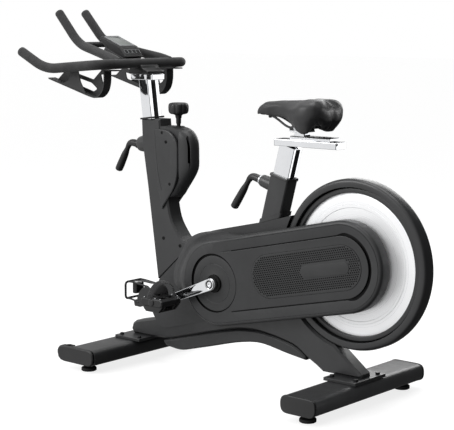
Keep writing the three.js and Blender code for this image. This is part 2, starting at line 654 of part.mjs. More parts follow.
// Rings of points across the bike, skinned into one closed body.
function loft(rings) {
  const count = rings[0].length;
  const position = rings.flat().flat();
  const index = [];
  for (let r = 0; r < rings.length - 1; r += 1) {
    for (let i = 0; i < count; i += 1) {
      const [a, b] = [r * count + i, r * count + ((i + 1) % count)];
      index.push(a, b, b + count, a, b + count, a + count);
    }
  }
  [0, rings.length - 1].forEach((r) => {
    const middle = rings[r].reduce((sum, p) => sum.map((v, k) => v + p[k] / count), [0, 0, 0]);
    const centre = position.length / 3;
    position.push(...middle);
    for (let i = 0; i < count; i += 1) {
      const [a, b] = [r * count + i, r * count + ((i + 1) % count)];
      if (r === 0) index.push(centre, b, a);
      else index.push(centre, a, b);
    }
  });
  const geometry = new THREE.BufferGeometry();
  geometry.setAttribute('position', new THREE.Float32BufferAttribute(position, 3));
  geometry.setIndex(index);
  return geometry;
}

function saddle() {
  const [stations, around] = [16, 16];
  const rings = [];
  for (let s = 0; s < stations; s += 1) {
    const t = 0.004 + (0.992 * s) / (stations - 1);
    const { half, top, skirt } = saddleSection(t);
    const ring = [];
    for (let i = 0; i < around; i += 1) {
      const angle = (i / around) * 2 * Math.PI;
      const [c, d] = [Math.cos(angle), Math.sin(angle)];
      const crown = Math.sign(d) * Math.abs(d) ** 0.7;
      const wing = Math.abs(c) ** 3 * skirt * 0.9;
      const z = crown > 0 ? top - 15 + 15 * crown - wing * 0.5 : top - 15 + 11 * crown - wing;
      ring.push([SADDLE.nose + (SADDLE.tail - SADDLE.nose) * t, half * c, z]);
    }
    rings.push(ring);
  }
  return loft(rings);
}

function saddleBase() {
  const corners = [[206, 849], [392, 842], [392, 838], [300, 834, 10], [206, 844]];
  return slab(outline(corners), -14, 14, 0);
}

// ---------------------------------------------------------------- handlebar
function frontPost() {
  const section = box(FRONT_POST.depth, FRONT_POST.width, 4, FRONT_POST.atX, 0);
  const post = leaned(upright(section, FRONT_POST.bottom, FRONT_POST.top + 6), COLUMN_LEAN, FRONT_POST.atX,
    FRONT_POST.atZ);
  const head = slab(box(HEAD.rear - HEAD.front, HEAD.top - HEAD.bottom, 0, (HEAD.rear + HEAD.front) / 2,
    (HEAD.top + HEAD.bottom) / 2), -HEAD.half, HEAD.half, 1.5);
  const groove = leaned(upright(box(3, 20, 0, FRONT_POST.atX + FRONT_POST.depth / 2, 0), 560, 936),
    COLUMN_LEAN,
    FRONT_POST.atX, FRONT_POST.atZ);
  return join(cut(post, groove), head);
}

function handlebar() {
  const side = [[-742, BAR_HALF, 1025], [-627, BAR_HALF, 970], [-485, BAR_HALF, 981], [-365, BAR_HALF, 990]];
  const left = side.map(([x, y, z]) => [x, -y, z]);
  const bar = bentTube([...left, ...side.reverse()], BAR_RADIUS, 52, 8, 44);
  const plate = slab(box(88, 16, 0, -358, HEAD.top + GAP + 8), -46, 46, 1);
  const saddleBlock = slab(outline([[-392, 970], [-330, 970], [-344, 996], [-386, 996]]), -34, 34, 1);
  const neck = outline([[-372, 992], [-372, 999], [-422, 999.5], [-470, 1018.5], [-470, 1010], [-424, 990]]);
  const tongue = slab(neck, -22, 22);
  return join(bar, plate, saddleBlock, tongue);
}

function aeroBars() {
  const path = (s) => [[-708, s * 60, 1152], [-613, s * 62, 1050], [-500, s * 86, 1026],
    [-398, s * 112, 1007]];
  const bars = [-1, 1].map((s) => bentTube(path(s), AERO_RADIUS, 46, 8, 14));
  const bridge = rod([-596, -70, 1047], [-596, 70, 1047], 10, 10, 12);
  const crossbar = rod([-365, -150, 990], [-365, 150, 990], BAR_RADIUS + GAP, BAR_RADIUS + GAP, 12);
  return cut(join(...bars, bridge), crossbar);
}

const CONSOLE = { halfWidth: 42, tilt: 20.5, buttonTilt: 49.8 };
const BUTTON_Y = [-27, -9, 9, 27];
const BUTTON = { slot: 5.4, depth: 3, proud: 2.2 };
function consoleHousing() {
  const side = outline([[-534, 1064], [-528, 1077], [-438, 1043], [-411, 1011], [-424, 1003],
    [-470, 1021.5], [-500, 1034]]);
  const body = slab(side, -CONSOLE.halfWidth, CONSOLE.halfWidth, 3);
  const slots = BUTTON_Y.map((y) => placedOnFace(upright(box(13.4, 12.4, 0), -BUTTON.slot, 20), y));
  const screenPocket = leanedFace(upright(box(73, 56, 0), -1.4, 20));
  return cut(body, screenPocket, ...slots);
}

// Places a piece built at the origin on the tilted top of the console, its base on the surface.
function leanedFace(geometry) {
  return geometry.rotateY(radians(CONSOLE.tilt)).translate(-482, 0, 1059.6);
}

// The buttons sit on the steep face below the screen.
function placedOnFace(geometry, y) {
  return geometry.rotateY(radians(CONSOLE.buttonTilt)).translate(-424.5, y, 1027);
}

function consoleButton(y) {
  return placedOnFace(upright(box(12.4, 11.4, 0), -BUTTON.depth, BUTTON.proud, 0.8), y);
}

function consoleScreen() {
  return leanedFace(upright(box(72, 55, 0), -1, 0.6, 0.3));
}

// A bent strip that carries a dumbbell, hung from the bar by a cut-out side plate.
function holder() {
  const [low, high] = [130, 162];
  const thick = 4;
  const strip = [[-656, 940], [-655, 935.5], [-452, 881, 30], [-426, 879, 16], [-398, 902, 16],
    [-390, 935, 10], [-390, 970], [-390 - thick, 970], [-390 - thick, 936, 10], [-401.6, 904, 14],
    [-427, 883, 14], [-451.6, 885, 26]];
  const tray = slab(outline(strip), -high, -low, 0);
  const plateShape = outline([[-640, 934.4], [-452, 884, 20], [-426, 882, 20], [-401, 903, 20],
    [-393, 935, 6], [-393, 971.4], [-430, 971.4], [-470, 938, 3], [-590, 966, 3], [-608, 960]]);
  plateShape.holes.push(outline([[-586, 951, 6], [-478, 927, 6], [-452, 908, 6], [-470, 899, 6],
    [-580, 929, 6]]));
  plateShape.holes.push(outline([[-436, 955, 4], [-408, 955, 4], [-408, 926, 4], [-424, 916, 4]]));
  const plate = slab(plateShape, -low - 3.5, -low, 0);
  const hook = outline([[-548, 968], [-512, 968], [-502, 930, 8], [-478, 894], [-590, 922], [-556, 934, 8]]);
  const hanger = slab(hook, -high, -high + 3.5);
  const tab = slab(box(34, 4, 0, -530, 968), -186, -high + 3.5, 0);
  const rearTab = slab(box(60, 4, 0, -376, 970), -high + 2, -low, 0);
  return join(tray, plate, hanger, tab, rearTab);
}

// ---------------------------------------------------------------- put together
add('main_beam', mainBeam(), FINISH.steel);
add('lower_cover', lowerCover(), FINISH.plastic);
add('front_stabilizer', stabilizer(FRONT_FOOT_X), FINISH.steel);
add('rear_stabilizer', stabilizer(FLYWHEEL.x), FINISH.steel);
addPair('front_end_cap', frontEndCap(), FINISH.plastic);
addPair('rear_end_cap', rearEndCap(), FINISH.plastic);
addPair('transport_wheel', transportWheel(), FINISH.rubber);
addPair('front_foot', levellingFoot(FRONT_FOOT_X, -FOOT_Y), FINISH.rubber);
addPair('rear_foot', levellingFoot(REAR_FOOT_X, -FOOT_Y), FINISH.rubber);

add('wheel_ring', wheelRing(), FINISH.steel);
add('flywheel', flywheel(), FINISH.disc);
add('flywheel_axle', flywheelAxle(), FINISH.chrome);
add('flywheel_pulley', pulley(FLYWHEEL.x, FLYWHEEL.z, PULLEY.small, AXLE.press, 16), FINISH.steel);
add('drive_pulley', pulley(CRANK.x, CRANK.z, PULLEY.large, AXLE.press, 32), FINISH.plastic);
add('drive_belt', driveBelt(), FINISH.rubber);
add('drive_fork', driveFork(), FINISH.steel);
add('magnet_arm', magnetArm(), FINISH.steel);

add('crank_axle', crankAxle(), FINISH.steel);
const arm = crankArm();
add('left_crank_arm', arm, FINISH.chrome);
add('right_crank_arm', mirrored(arm).translate(0, 0, -CRANK.z).rotateY(Math.PI).translate(0, 0, CRANK.z),
  FINISH.chrome);
const SIDES = [['left', -1], ['right', 1]];
SIDES.forEach(([side, sign]) => {
  const { x, z } = pedalPoint(sign);
  const handed = (geometry) => (sign < 0 ? geometry : mirrored(geometry)).translate(x, 0, z);
  add(`${side}_pedal`, handed(pedalBody()), FINISH.plastic);
  add(`${side}_toe_cage`, handed(toeCage()), FINISH.plastic);
});

addPair('body_shell', bodyShell(), FINISH.plastic);
add('belt_cover', beltCover(), FINISH.plastic);
add('crank_cover', crankCover(), FINISH.plastic);
add('perforated_panel', perforatedPanel(), FINISH.plastic);
add('right_cover', rightCover(), FINISH.plastic);

add('front_column', frontColumn(), FINISH.steel);
addPair('column_cover', columnCover(), FINISH.plastic);
add('resistance_housing', resistanceHousing(), FINISH.plastic);
add('resistance_knob', resistanceKnob(), FINISH.plastic);
add('front_clamp_lever', clampLever([-395.6, 0, 723], [-440, 0, 728], [-492, 0, 634]), FINISH.plastic);

const { body: seatTubeBody, at: seatBoss } = seatTube();
add('seat_tube', seatTubeBody, FINISH.steel);
add('rear_clamp_lever', clampLever(seatBoss(31), seatBoss(88), [26, 0, 560]), FINISH.plastic);
add('seat_post', seatPost(), FINISH.chrome);
add('slide_block', slideBlock(), FINISH.chrome);
add('saddle_rails', saddleRails(), FINISH.steel);
add('saddle', saddle(), FINISH.vinyl);
add('saddle_base', saddleBase(), FINISH.plastic);

add('front_post', frontPost(), FINISH.chrome);
add('handlebar', handlebar(), FINISH.foam);
add('aero_bars', aeroBars(), FINISH.foam);
add('console_housing', consoleHousing(), FINISH.plastic);
add('console_screen', consoleScreen(), FINISH.glass);
BUTTON_Y.forEach((y, i) => add(`console_button_${i + 1}`, consoleButton(y), FINISH.rubber));
addPair('holder', holder(), FINISH.steel);

export default bike;
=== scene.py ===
import json
import math

import bmesh
import bpy
import numpy as np
from mathutils import Matrix, Vector

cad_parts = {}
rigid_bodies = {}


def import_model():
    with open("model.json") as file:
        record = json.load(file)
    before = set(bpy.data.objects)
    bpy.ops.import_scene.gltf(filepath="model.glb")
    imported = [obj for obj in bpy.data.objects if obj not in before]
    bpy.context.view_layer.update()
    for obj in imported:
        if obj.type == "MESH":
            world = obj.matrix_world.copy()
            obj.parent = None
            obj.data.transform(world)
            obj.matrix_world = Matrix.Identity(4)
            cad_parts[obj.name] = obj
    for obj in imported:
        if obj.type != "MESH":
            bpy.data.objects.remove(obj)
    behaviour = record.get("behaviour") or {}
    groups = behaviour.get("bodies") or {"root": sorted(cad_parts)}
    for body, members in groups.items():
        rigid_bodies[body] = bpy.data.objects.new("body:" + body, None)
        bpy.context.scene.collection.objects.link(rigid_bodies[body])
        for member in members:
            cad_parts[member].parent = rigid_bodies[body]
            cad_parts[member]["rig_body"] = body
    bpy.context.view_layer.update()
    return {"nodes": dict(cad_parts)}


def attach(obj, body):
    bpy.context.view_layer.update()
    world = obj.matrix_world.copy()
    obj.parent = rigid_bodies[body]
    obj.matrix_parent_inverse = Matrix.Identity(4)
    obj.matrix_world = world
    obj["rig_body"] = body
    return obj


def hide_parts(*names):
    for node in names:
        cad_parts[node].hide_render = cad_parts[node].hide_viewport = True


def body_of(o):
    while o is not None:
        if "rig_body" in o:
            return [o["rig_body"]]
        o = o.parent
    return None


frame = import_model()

# Shapes are given in millimetres from the crank axle's X, like the CAD source, and placed by V.
SHIFT_X = 1.95
MM = 0.001
CRANK_Z = 313.0
HUB = (491.0, 421.0)          # flywheel axle, X and Z
HUB_AT = (HUB[0], 0, HUB[1])
SIDES = (("left", -1), ("right", 1))
BAR = "handlebar_set"


def V(x, y, z):
    return Vector(((x + SHIFT_X) * MM, y * MM, z * MM))


# ---------------------------------------------------------------- materials
class Nodes:
    """A small wrapper that adds shader nodes and links them."""

    def __init__(self, name):
        self.material = bpy.data.materials.new(name)
        self.material.use_nodes = True
        self.tree = self.material.node_tree
        self.shader = self.tree.nodes["Principled BSDF"]
        self.point = self.tree.nodes.new("ShaderNodeTexCoord").outputs["Object"]

    def add(self, kind, **values):
        node = self.tree.nodes.new(kind)
        for key, value in values.items():
            if key in node.inputs:
                if isinstance(value, bpy.types.NodeSocket):
                    self.tree.links.new(value, node.inputs[key])
                else:
                    node.inputs[key].default_value = value
            else:
                setattr(node, key, value)
        return node

    def link(self, output, target):
        self.tree.links.new(output, target)

    def noise(self, scale, detail=3.0, roughness=0.55):
        return self.add("ShaderNodeTexNoise", Vector=self.point, Scale=scale, Detail=detail,
                        Roughness=roughness)

    def ranged(self, value, low, high, start=0.3, stop=0.7):
        node = self.add("ShaderNodeMapRange", Value=value)
        for key, number in (("From Min", start), ("From Max", stop), ("To Min", low), ("To Max", high)):
            node.inputs[key].default_value = number
        return node.outputs["Result"]

    def mixed(self, factor, a, b):
        node = self.tree.nodes.new("ShaderNodeMix")
        node.data_type = "RGBA"
        self.link(factor, node.inputs["Factor"])
        for socket, colour in ((node.inputs[6], a), (node.inputs[7], b)):
            if isinstance(colour, bpy.types.NodeSocket):
                self.link(colour, socket)
            else:
                socket.default_value = (*colour, 1)
        return node.outputs[2]

    def bump(self, height, strength, distance, normal=None):
        node = self.add("ShaderNodeBump", Height=height, Strength=strength, Distance=distance)
        if normal:
            self.link(normal, node.inputs["Normal"])
        return node.outputs["Normal"]


def shades(colour, spread):
    low = tuple(c * (1 - spread) for c in colour)
    high = tuple(min(1.0, c * (1 + spread)) for c in colour)
    return low, high


def moulded(name, colour, rough=0.45, grain=900.0, strength=0.25, depth=0.0002, spread=0.18, coat=0.0,
            metal=0.0, wear=0.35, specular=0.5):
    """Moulded plastic, paint or rubber: fine grain, uneven roughness, edges rubbed a little paler."""
    n = Nodes(name)
    broad = n.noise(9.0, 4.0).outputs["Fac"]
    base = n.mixed(n.ranged(broad, 0, 1), *shades(colour, spread))
    edge = n.add("ShaderNodeNewGeometry").outputs["Pointiness"]
    worn = tuple(min(1.0, c * 1.7 + 0.01) for c in colour)
    rubbed = n.add("ShaderNodeMath", operation="MULTIPLY")
    n.link(n.ranged(edge, 0, wear, 0.515, 0.57), rubbed.inputs[0])
    n.link(n.ranged(n.noise(60.0, 5.0).outputs["Fac"], 0.3, 1), rubbed.inputs[1])
    n.link(n.mixed(rubbed.outputs[0], base, worn), n.shader.inputs["Base Color"])
    patch = n.noise(34.0, 5.0, 0.65).outputs["Fac"]
    n.link(n.ranged(patch, rough * 0.88, min(1.0, rough * 1.14)), n.shader.inputs["Roughness"])
    fine = n.noise(grain, 2.0, 0.6).outputs["Fac"]
    n.link(n.bump(fine, strength, depth), n.shader.inputs["Normal"])
    n.shader.inputs["Metallic"].default_value = metal
    n.shader.inputs["Specular IOR Level"].default_value = specular
    if coat:
        n.shader.inputs["Coat Weight"].default_value = coat
        n.shader.inputs["Coat Roughness"].default_value = 0.12
    return n.material


def plated(name, colour, rough, spread=0.04, scale=60.0, strength=0.04):
    """Polished or brushed metal with faint smears and hairlines."""
    n = Nodes(name)
    smear = n.noise(14.0, 5.0, 0.6).outputs["Fac"]
    n.link(n.mixed(n.ranged(smear, 0, 1), *shades(colour, spread)), n.shader.inputs["Base Color"])
    n.link(n.ranged(smear, rough * 0.75, rough * 1.35), n.shader.inputs["Roughness"])
    line = n.noise(scale, 4.0, 0.7).outputs["Fac"]
    n.link(n.bump(line, strength, 0.0001), n.shader.inputs["Normal"])
    n.shader.inputs["Metallic"].default_value = 1.0
    return n.material


def turned_steel(name, colour, rough):
    """Metal with the fine rings that a lathe leaves round the flywheel axle."""
    n = Nodes(name)
    centre = V(*HUB_AT)
    offset = n.add("ShaderNodeVectorMath", operation="SUBTRACT")
    n.link(n.point, offset.inputs[0])
    offset.inputs[1].default_value = centre
    flat = n.add("ShaderNodeVectorMath", operation="MULTIPLY")
    n.link(offset.outputs[0], flat.inputs[0])
    flat.inputs[1].default_value = (1, 0, 1)
    reach = n.add("ShaderNodeVectorMath", operation="LENGTH")
    n.link(flat.outputs[0], reach.inputs[0])
    rings = n.tree.nodes.new("ShaderNodeTexNoise")
    rings.noise_dimensions = "1D"
    rings.inputs["Scale"].default_value = 900.0
    rings.inputs["Detail"].default_value = 4.0
    n.link(reach.outputs["Value"], rings.inputs["W"])
    ring = rings.outputs["Fac"]
    n.link(n.mixed(n.ranged(ring, 0, 1), *shades(colour, 0.05)), n.shader.inputs["Base Color"])
    n.link(n.ranged(ring, rough * 0.8, rough * 1.3), n.shader.inputs["Roughness"])
    n.link(n.bump(ring, 0.08, 0.0001), n.shader.inputs["Normal"])
    n.shader.inputs["Metallic"].default_value = 0.4
    return n.material


def foam(name, colour):
    """Open-celled grip foam: a field of small pits over a soft uneven skin."""
    n = Nodes(name)
    cells = n.add("ShaderNodeTexVoronoi", Vector=n.point, Scale=620.0)
    broad = n.noise(40.0, 4.0).outputs["Fac"]
    tone = n.mixed(n.ranged(cells.outputs["Distance"], 0, 1, 0.05, 0.5), *shades(colour, 0.35))
    n.link(n.mixed(n.ranged(broad, 0, 0.4), tone, tuple(c * 1.5 for c in colour)),
           n.shader.inputs["Base Color"])
    n.link(n.ranged(broad, 0.72, 0.92), n.shader.inputs["Roughness"])
    soft = n.bump(broad, 0.25, 0.0012)
    n.link(n.bump(cells.outputs["Distance"], 0.5, 0.0006, soft), n.shader.inputs["Normal"])
    n.shader.inputs["Sheen Weight"].default_value = 0.12
    n.shader.inputs["Sheen Roughness"].default_value = 0.5
    return n.material


def vinyl(name, colour, rough=0.42):
    """Grained upholstery vinyl: rounded pebbles with fine creases between them."""
    n = Nodes(name)
    pebble = n.add("ShaderNodeTexVoronoi", Vector=n.point, Scale=760.0, feature="SMOOTH_F1")
    crease = n.noise(130.0, 6.0, 0.6).outputs["Fac"]
    base = n.mixed(n.ranged(crease, 0, 1), *shades(colour, 0.2))
    n.link(base, n.shader.inputs["Base Color"])
    n.link(n.ranged(crease, rough * 0.85, rough * 1.2), n.shader.inputs["Roughness"])
    soft = n.bump(crease, 0.12, 0.0006)
    n.link(n.bump(pebble.outputs["Distance"], 0.3, 0.00035, soft), n.shader.inputs["Normal"])
    return n.material


def webbing(name, colour):
    """Woven strap: fine crossed ribs."""
    n = Nodes(name)
    warp = n.add("ShaderNodeTexWave", Vector=n.point, Scale=330.0, wave_type="BANDS", bands_direction="X")
    weft = n.add("ShaderNodeTexWave", Vector=n.point, Scale=330.0, wave_type="BANDS", bands_direction="Y")
    both = n.add("ShaderNodeMath", operation="MULTIPLY")
    n.link(warp.outputs["Fac"], both.inputs[0])
    n.link(weft.outputs["Fac"], both.inputs[1])
    n.link(n.mixed(both.outputs[0], *shades(colour, 0.4)), n.shader.inputs["Base Color"])
    n.link(n.ranged(n.noise(60.0).outputs["Fac"], 0.75, 0.95), n.shader.inputs["Roughness"])
    n.link(n.bump(both.outputs[0], 0.6, 0.0005), n.shader.inputs["Normal"])
    n.shader.inputs["Sheen Weight"].default_value = 0.2
    return n.material


PAINT = moulded("satin_paint", (0.0215, 0.022, 0.023), 0.42, 1400.0, 0.12, 0.0001, coat=0.12)
COVER = moulded("cover_moulding", (0.0205, 0.021, 0.022), 0.46, 1700.0, 0.14, 0.0001)
PANEL = moulded("panel_moulding", (0.0215, 0.022, 0.0228), 0.5, 1700.0, 0.14, 0.0001)
BLACK = moulded("black_moulding", (0.008, 0.008, 0.0085), 0.42, 1100.0, 0.3, 0.0002)
# near black: for dark parts, and also painted shade in the drive cover's groove and well, behind the panel
# holes and in the flywheel gap
DEEP = moulded("deep_black", (0.003, 0.003, 0.003), 0.6, 900.0, 0.2, 0.0002, wear=0.0, specular=0.2)
HOLDER = moulded("holder_paint", (0.0115, 0.0117, 0.0122), 0.5, 1400.0, 0.14, 0.0001)
RUBBER = moulded("moulded_rubber", (0.010, 0.010, 0.0105), 0.72, 700.0, 0.5, 0.0004, specular=0.3)
DARK_STEEL = moulded("blackened_steel", (0.02, 0.02, 0.021), 0.34, 500.0, 0.2, 0.0001, metal=0.6)
GREY = moulded("pale_grey_moulding", (0.2, 0.205, 0.21), 0.4, 1200.0, 0.2, 0.0001)
LCD = moulded("display_window", (0.15, 0.165, 0.155), 0.18, 300.0, 0.03, 0.0001, coat=0.6)
CHROME = plated("polished_chrome", (0.86, 0.87, 0.89), 0.07)
BOLT = plated("zinc_bolt", (0.6, 0.61, 0.63), 0.22, 0.1)
DISC = turned_steel("turned_disc", (0.93, 0.935, 0.945), 0.34)
FOAM = foam("grip_foam", (0.013, 0.013, 0.0135))
VINYL = vinyl("saddle_vinyl", (0.018, 0.018, 0.019))
STRAP = webbing("strap_web", (0.012, 0.012, 0.013))

# what many pieces share: material, body and slot
FRAME_PAINT = (PAINT, "frame", "frame_paint")
FRAME_COVER = (COVER, "frame", "cover_plastic")
FRAME_BLACK = (BLACK, "frame", "black_plastic")
POST_CHROME = (CHROME, "seat_post_set", "chrome_bright")
POST_BLACK = (BLACK, "seat_post_set", "black_plastic")
CRANK_CHROME = (CHROME, "crank", "chrome_bright")
BAR_BLACK = (BLACK, BAR, "black_plastic")


# ---------------------------------------------------------------- mesh tools
def outward(mesh):
    """Turns every face of a mesh to look outwards."""
    bm = bmesh.new()
    bm.from_mesh(mesh)
    bmesh.ops.recalc_face_normals(bm, faces=bm.faces)
    bm.to_mesh(mesh)
    bm.free()


def tube_faces(rows, count, closed=False):
    """Quads along rings of count points each; closed joins the last ring to the first."""
    faces = []
    for i in range(rows if closed else rows - 1):
        a, b = i * count, (i + 1) % rows * count
        for k in range(count):
            j = (k + 1) % count
            faces.append([a + k, a + j, b + j, b + k])
    return faces


def slab_faces(count):
    """Two caps and the walls between two outlines of count points."""
    return [list(range(count))[::-1], list(range(count, 2 * count))] + tube_faces(2, count)


def grid_faces(rows, steps):
    """Quads between rows of steps points each, the last row joined to the first."""
    faces = []
    for i in range(rows):
        a, b = i * steps, (i + 1) % rows * steps
        faces += [[a + k, b + k, b + k + 1, a + k + 1] for k in range(steps - 1)]
    return faces


def finish_piece(obj, material, body, slot, replaces=(), angle=40.0, bevel=0.0, segments=2, limit=30.0):
    mesh = obj.data
    mesh.materials.clear()
    mesh.materials.append(material)
    outward(mesh)
    mesh.shade_smooth()
    if bevel:
        mod = obj.modifiers.new("edge", "BEVEL")
        mod.width, mod.segments = bevel * MM, segments
        mod.limit_method, mod.angle_limit = "ANGLE", math.radians(limit)
        mod.harden_normals = True
        mod.use_clamp_overlap = True
    else:
        mesh.set_sharp_from_angle(angle=math.radians(angle))
    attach(obj, body)
    if replaces:
        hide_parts(*replaces)
    return obj


def link(name, mesh):
    obj = bpy.data.objects.new(name, mesh)
    bpy.context.scene.collection.objects.link(obj)
    return obj


def solid(name, points, faces, material, body, slot, **options):
    """A piece from points in millimetres and faces."""
    mesh = bpy.data.meshes.new(name)
    mesh.from_pydata([tuple(V(*p)) for p in points], [], faces)
    return finish_piece(link(name, mesh), material, body, slot, **options)


def refine(node, material, slot, bevel=0.8, limit=30.0, segments=2):
    """A clean copy of a CAD node: welded, flat faces merged, edges rounded by a bevel."""
    source = frame["nodes"][node]
    bm = bmesh.new()
    bm.from_mesh(source.data)
    bmesh.ops.remove_doubles(bm, verts=bm.verts, dist=2e-6)
    bmesh.ops.dissolve_limit(bm, angle_limit=math.radians(0.5), verts=bm.verts, edges=bm.edges)
    bm.verts.index_update()
    points = [tuple(v.co) for v in bm.verts]
    faces = [[v.index for v in f.verts] for f in bm.faces]
    bm.free()
    mesh = bpy.data.meshes.new(node + "_skin")
    mesh.from_pydata(points, [], faces)
    body = body_of(source)[0]
    return finish_piece(link(node + "_skin", mesh), material, body, slot, replaces=(node,), bevel=bevel,
                        limit=limit, segments=segments)


def rounded(corners, radius=0.0, steps=6):
    """Points of a closed outline through [x, z, own radius] corners, each eased as the CAD eases it."""
    points, count = [], len(corners)
    for i, corner in enumerate(corners):
        here = Vector(corner[:2])
        own = corner[2] if len(corner) > 2 else radius
        if own <= 0:
            points.append(tuple(here))
            continue
        ends = []
        for other in (corners[i - 1], corners[(i + 1) % count]):
            side = Vector(other[:2]) - here
            ends.append(here + side.normalized() * min(own, side.length * 0.49))
        for k in range(steps + 1):
            t = k / steps
            p = ends[0] * (1 - t) ** 2 + here * 2 * t * (1 - t) + ends[1] * t * t
            points.append(tuple(p))
    return points


def circle(x, z, radius, count=24):
    return [(x + radius * math.cos(2 * math.pi * k / count), z + radius * math.sin(2 * math.pi * k / count))
            for k in range(count)]


def oblong(a, b, radius, count=24):
    """A belt-shaped outline round two points."""
    ax, az = a
    bx, bz = b
    head = math.atan2(bz - az, bx - ax)
    half = math.pi / 2
    points = []
    for (x, z), start in (((bx, bz), head - half), ((ax, az), head + half)):
        for k in range(count + 1):
            angle = start + math.pi * k / count
            points.append((x + radius * math.cos(angle), z + radius * math.sin(angle)))
    return points


def plate(name, outlines, low, high, material, body, slot, edge=0.6, **options):
    """A flat plate from y = low to y = high with holes; the first outline is the outside."""
    curve = bpy.data.curves.new(name, "CURVE")
    curve.dimensions, curve.fill_mode = "2D", "BOTH"
    for points in outlines:
        spline = curve.splines.new("POLY")
        spline.points.add(len(points) - 1)
        for target, (x, z) in zip(spline.points, points):
            target.co = ((x + SHIFT_X) * MM, z * MM, 0, 1)
        spline.use_cyclic_u = True
    curve.extrude = (high - low) / 2 * MM - edge * MM
    curve.bevel_depth, curve.bevel_resolution, curve.offset = edge * MM, 2, -edge * MM
    flat = link(name + "_flat", curve)
    mesh = bpy.data.meshes.new_from_object(flat.evaluated_get(bpy.context.evaluated_depsgraph_get()))
    bpy.data.objects.remove(flat)
    bpy.data.curves.remove(curve)
    mesh.name = name
    bm = bmesh.new()
    bm.from_mesh(mesh)
    bmesh.ops.remove_doubles(bm, verts=bm.verts, dist=1e-6)
    bm.to_mesh(mesh)
    bm.free()
    mesh.transform(Matrix.Translation((0, (low + high) / 2 * MM, 0)) @ Matrix.Rotation(math.pi / 2, 4, "X"))
    return finish_piece(link(name, mesh), material, body, slot, **options)


def across(direction):
    """Two unit vectors square to a direction."""
    d = Vector(direction).normalized()
    a = d.orthogonal().normalized()
    return d, a, d.cross(a).normalized()


def lathe(name, profile, at, direction, material, body, slot, segments=96, shape=None, **options):
    """A profile of (radius, height) turned round an axis; shape(angle, radius, height) may move a radius."""
    d, a, b = across(direction)
    start = Vector(at)
    points, faces, rows = [], [], []
    for radius, height in profile:
        if radius <= 1e-6:
            rows.append([len(points)])
            points.append(start + d * height)
            continue
        row = []
        for k in range(segments):
            angle = 2 * math.pi * k / segments
            reach = shape(angle, radius, height) if shape else radius
            row.append(len(points))
            points.append(start + d * height + (a * math.cos(angle) + b * math.sin(angle)) * reach)
        rows.append(row)
    for one, two in zip(rows, rows[1:]):
        for k in range(segments):
            j = (k + 1) % segments
            face = [one[k % len(one)], one[j % len(one)], two[j % len(two)], two[k % len(two)]]
            clean = [v for n, v in enumerate(face) if v not in face[:n]]
            if len(clean) > 2:
                faces.append(clean)
    return solid(name, points, faces, material, body, slot, **options)


def smooth_path(points, bend, steps=10, spacing=14.0):
    """Points along straight runs joined by eased bends."""
    nodes = [Vector(p) for p in points]
    path = [nodes[0]]
    for i in range(1, len(nodes) - 1):
        into, out = nodes[i - 1] - nodes[i], nodes[i + 1] - nodes[i]
        reach = min(bend, into.length * 0.49, out.length * 0.49)
        start, end = nodes[i] + into.normalized() * reach, nodes[i] + out.normalized() * reach
        for k in range(steps + 1):
            t = k / steps
            path.append(start * (1 - t) ** 2 + nodes[i] * 2 * t * (1 - t) + end * t * t)
    path.append(nodes[-1])
    full = [path[0]]
    for p in path[1:]:
        step = p - full[-1]
        extra = int(step.length // spacing)
        start = full[-1]
        for k in range(1, extra + 1):
            full.append(start + step * k / (extra + 1))
        full.append(p)
    return [p for n, p in enumerate(full) if n == 0 or (p - full[n - 1]).length > 1e-3]


def sweep(name, path, radius, material, body, slot, sides=24, dome=0.35, flat=None, **options):
    """A round tube with softly domed ends; radius is a number or a function of 0..1, flat squeezes it."""
    count = len(path)
    size = radius if callable(radius) else (lambda t: radius)
    lengths = [0.0]
    for p, q in zip(path, path[1:]):
        lengths.append(lengths[-1] + (q - p).length)
    tangents = [(path[min(i + 1, count - 1)] - path[max(i - 1, 0)]).normalized() for i in range(count)]
    _, a, _ = across(tangents[0])
    if flat:
        a = (Vector(flat[0]) - tangents[0] * Vector(flat[0]).dot(tangents[0])).normalized()
    rings = []
    for i, (p, t) in enumerate(zip(path, tangents)):
        a = (a - t * a.dot(t)).normalized()
        b = t.cross(a)
        share = lengths[i] / lengths[-1]
        r = size(share)
        wide = flat[1] if flat else 1.0
        rings.append([p + a * math.cos(2 * math.pi * k / sides) * r * wide
                      + b * math.sin(2 * math.pi * k / sides) * r for k in range(sides)])
    if dome:
        for end, step in ((0, -1), (-1, 1)):
            centre, t, ring = path[end], tangents[end], rings[end]
            r = size(0.0 if end == 0 else 1.0)
            extra = []
            for k in (1, 2, 3):
                angle = k * math.pi / 8
                extra.append([centre + (q - centre) * math.cos(angle) + t * step * r * dome * math.sin(angle)
                              for q in ring])
            rings = extra[::-1] + rings if end == 0 else rings + extra
    points = [q for ring in rings for q in ring]
    faces = tube_faces(len(rings), sides)
    faces.append(list(range(sides)))
    faces.append([(len(rings) - 1) * sides + k for k in range(sides)][::-1])
    return solid(name, points, faces, material, body, slot, **options)


def carve(obj, *cutters):
    """Cuts the cutters out of obj, for good, and removes them."""
    for cutter in cutters:
        mod = obj.modifiers.new("carve", "BOOLEAN")
        mod.operation, mod.solver, mod.object = "DIFFERENCE", "EXACT", cutter
        obj.modifiers.move(len(obj.modifiers) - 1, 0)
    bevels = [m for m in obj.modifiers if m.type == "BEVEL"]
    for m in bevels:
        m.show_viewport = False
    dg = bpy.context.evaluated_depsgraph_get()
    mesh = bpy.data.meshes.new_from_object(obj.evaluated_get(dg))
    for m in [m for m in obj.modifiers if m.type == "BOOLEAN"]:
        obj.modifiers.remove(m)
    for m in bevels:
        m.show_viewport = True
    obj.data = mesh
    mesh.materials.clear()
    for cutter in cutters:
        bpy.data.objects.remove(cutter)


def resurface(obj, material, angle=None):
    """Gives a carved piece its material and smooth shading back."""
    obj.data.materials.append(material)
    obj.data.shade_smooth()
    if angle:
        obj.data.set_sharp_from_angle(angle=math.radians(angle))


